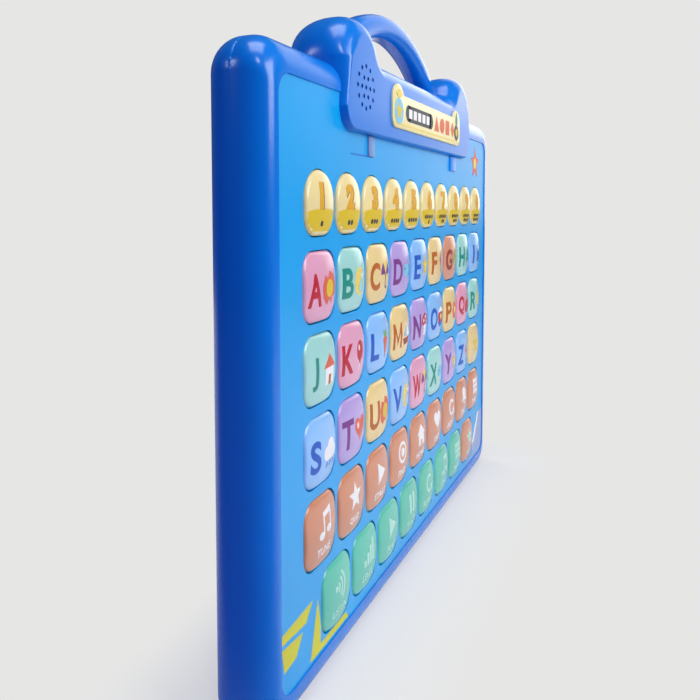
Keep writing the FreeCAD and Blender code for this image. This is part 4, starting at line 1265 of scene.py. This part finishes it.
BACKDROP = colour(230, 230, 229)
BRIGHT_SIDE = Vector((1, 0.02, 0.1)).normalized()
WORLD_LEVEL = 1.4
WORLD_TONES = [(0, (0.03, 0.035, 0.22, 1)), (0.4, (0.03, 0.035, 0.2, 1)), (0.58, (0.05, 0.055, 0.07, 1)),
               (0.955, (0.06, 0.065, 0.08, 1)), (1, (1.7, 1.7, 1.65, 1))]
FLOOR_TONE = colour(236, 236, 235)
BOARD_HALF = Vector((160, 14, 0)) * MM
SHADOW_NEAR = 4 * MM
SHADOW_FAR = 60 * MM
SHADOW_FADE = 0.55
BOUNCE_TONE = (0.12, 0.16, 0.42, 1)
BOUNCE_FROM = -200 * MM
BOUNCE_TO = -110 * MM
FLOOR_REACH = 12
FLOOR_ROUGHNESS = 0.9


def world():
    """Light that changes from side to side, behind a plain backdrop that only the camera sees."""
    studio = bpy.data.worlds.new("studio")
    bpy.context.scene.world = studio
    studio.use_nodes = True
    tree = studio.node_tree
    tree.nodes.clear()
    place = add_node(tree, "TexCoord", {}).outputs["Generated"]
    towards = add_node(tree, "VectorMath", {0: place, 1: BRIGHT_SIDE}, operation="DOT_PRODUCT")
    rise = add_node(tree, "MapRange", {"Value": towards.outputs["Value"], "From Min": -1})
    tones = ramp(tree, rise.outputs["Result"], WORLD_TONES)
    light = add_node(tree, "Background", {"Color": tones, "Strength": WORLD_LEVEL})
    seen = add_node(tree, "Background", {"Color": BACKDROP})
    path = add_node(tree, "LightPath", {}).outputs["Is Camera Ray"]
    mix = add_node(tree, "MixShader", {"Fac": path, 1: light.outputs[0], 2: seen.outputs[0]})
    add_node(tree, "OutputWorld", {"Surface": mix.outputs["Shader"]})


def ground():
    """A pale floor: lit and shaded round the board, and seen in the backdrop's own tone further out."""
    mesh = bpy.data.meshes.new("floor")
    corners = block(-FLOOR_REACH, -FLOOR_REACH, FLOOR_REACH, FLOOR_REACH)
    mesh.from_pydata([(x, y, 0) for x, y in corners], [], [(0, 1, 2, 3)])
    new_object("floor", mesh)
    material, tree, shader = new_material("floor")
    shader.inputs["Roughness"].default_value = FLOOR_ROUGHNESS
    path = add_node(tree, "LightPath", {}).outputs["Is Camera Ray"]
    place = add_node(tree, "TexCoord", {}).outputs["Object"]

    across = add_node(tree, "SeparateXYZ", {"Vector": place}).outputs["X"]
    lit = add_node(tree, "MapRange", {"Value": across, "From Min": BOUNCE_FROM, "From Max": BOUNCE_TO})
    pale = add_node(tree, "Math", {0: lit.outputs["Result"], 1: path}, operation="MAXIMUM")
    tone = add_node(tree, "Mix", {"Factor": pale.outputs["Value"], "A": BOUNCE_TONE, "B": FLOOR_TONE},
                    data_type="RGBA")
    tree.links.new(tone.outputs["Result"], shader.inputs["Base Color"])

    away = add_node(tree, "VectorMath", {0: place}, operation="ABSOLUTE")
    for operation, value in (("SUBTRACT", BOARD_HALF), ("MAXIMUM", (0, 0, 0))):
        away = add_node(tree, "VectorMath", {0: away.outputs["Vector"], 1: value}, operation=operation)
    distance = add_node(tree, "VectorMath", {0: away.outputs["Vector"]}, operation="LENGTH")
    far = add_node(tree, "MapRange", {"Value": distance.outputs["Value"], "From Min": SHADOW_NEAR,
                                      "From Max": SHADOW_FAR, "To Min": SHADOW_FADE},
                   interpolation_type="SMOOTHSTEP")
    seen = add_node(tree, "Math", {0: far.outputs["Result"], 1: path}, operation="MULTIPLY")
    glow = add_node(tree, "Emission", {"Color": BACKDROP})
    mix = add_node(tree, "MixShader", {"Fac": seen.outputs["Value"], 1: shader.outputs["BSDF"],
                                       2: glow.outputs["Emission"]})
    tree.links.new(mix.outputs["Shader"], tree.nodes["Material Output"].inputs["Surface"])
    mesh.materials.append(material)


camera()
world()
ground()
lamp("front", (-0.12, -0.64, 0.5), (-0.05, 0, 0.13), 0.45, 4.3)
lamp("back", (0.35, 1.0, 0.7), (0, 0, 0.13), 0.6, 5, shine=False)
lamp("right_high", (1.1, -0.15, 0.8), (0, 0, 0.24), 0.9, 2.2)
lamp("top", (-0.2, -0.15, 1.25), (0, 0, 0.2), 0.6, 5.5)
lamp("corner", (-0.62, -0.42, 0.85), (-0.15, 0, 0.22), 0.07, 0.8)
lamp("left_strip", (-0.75, 0.45, 0.6), (-0.15, 0, 0.2), 0.05, 0.6, 0.2)
bpy.context.scene.view_settings.view_transform = "Standard"
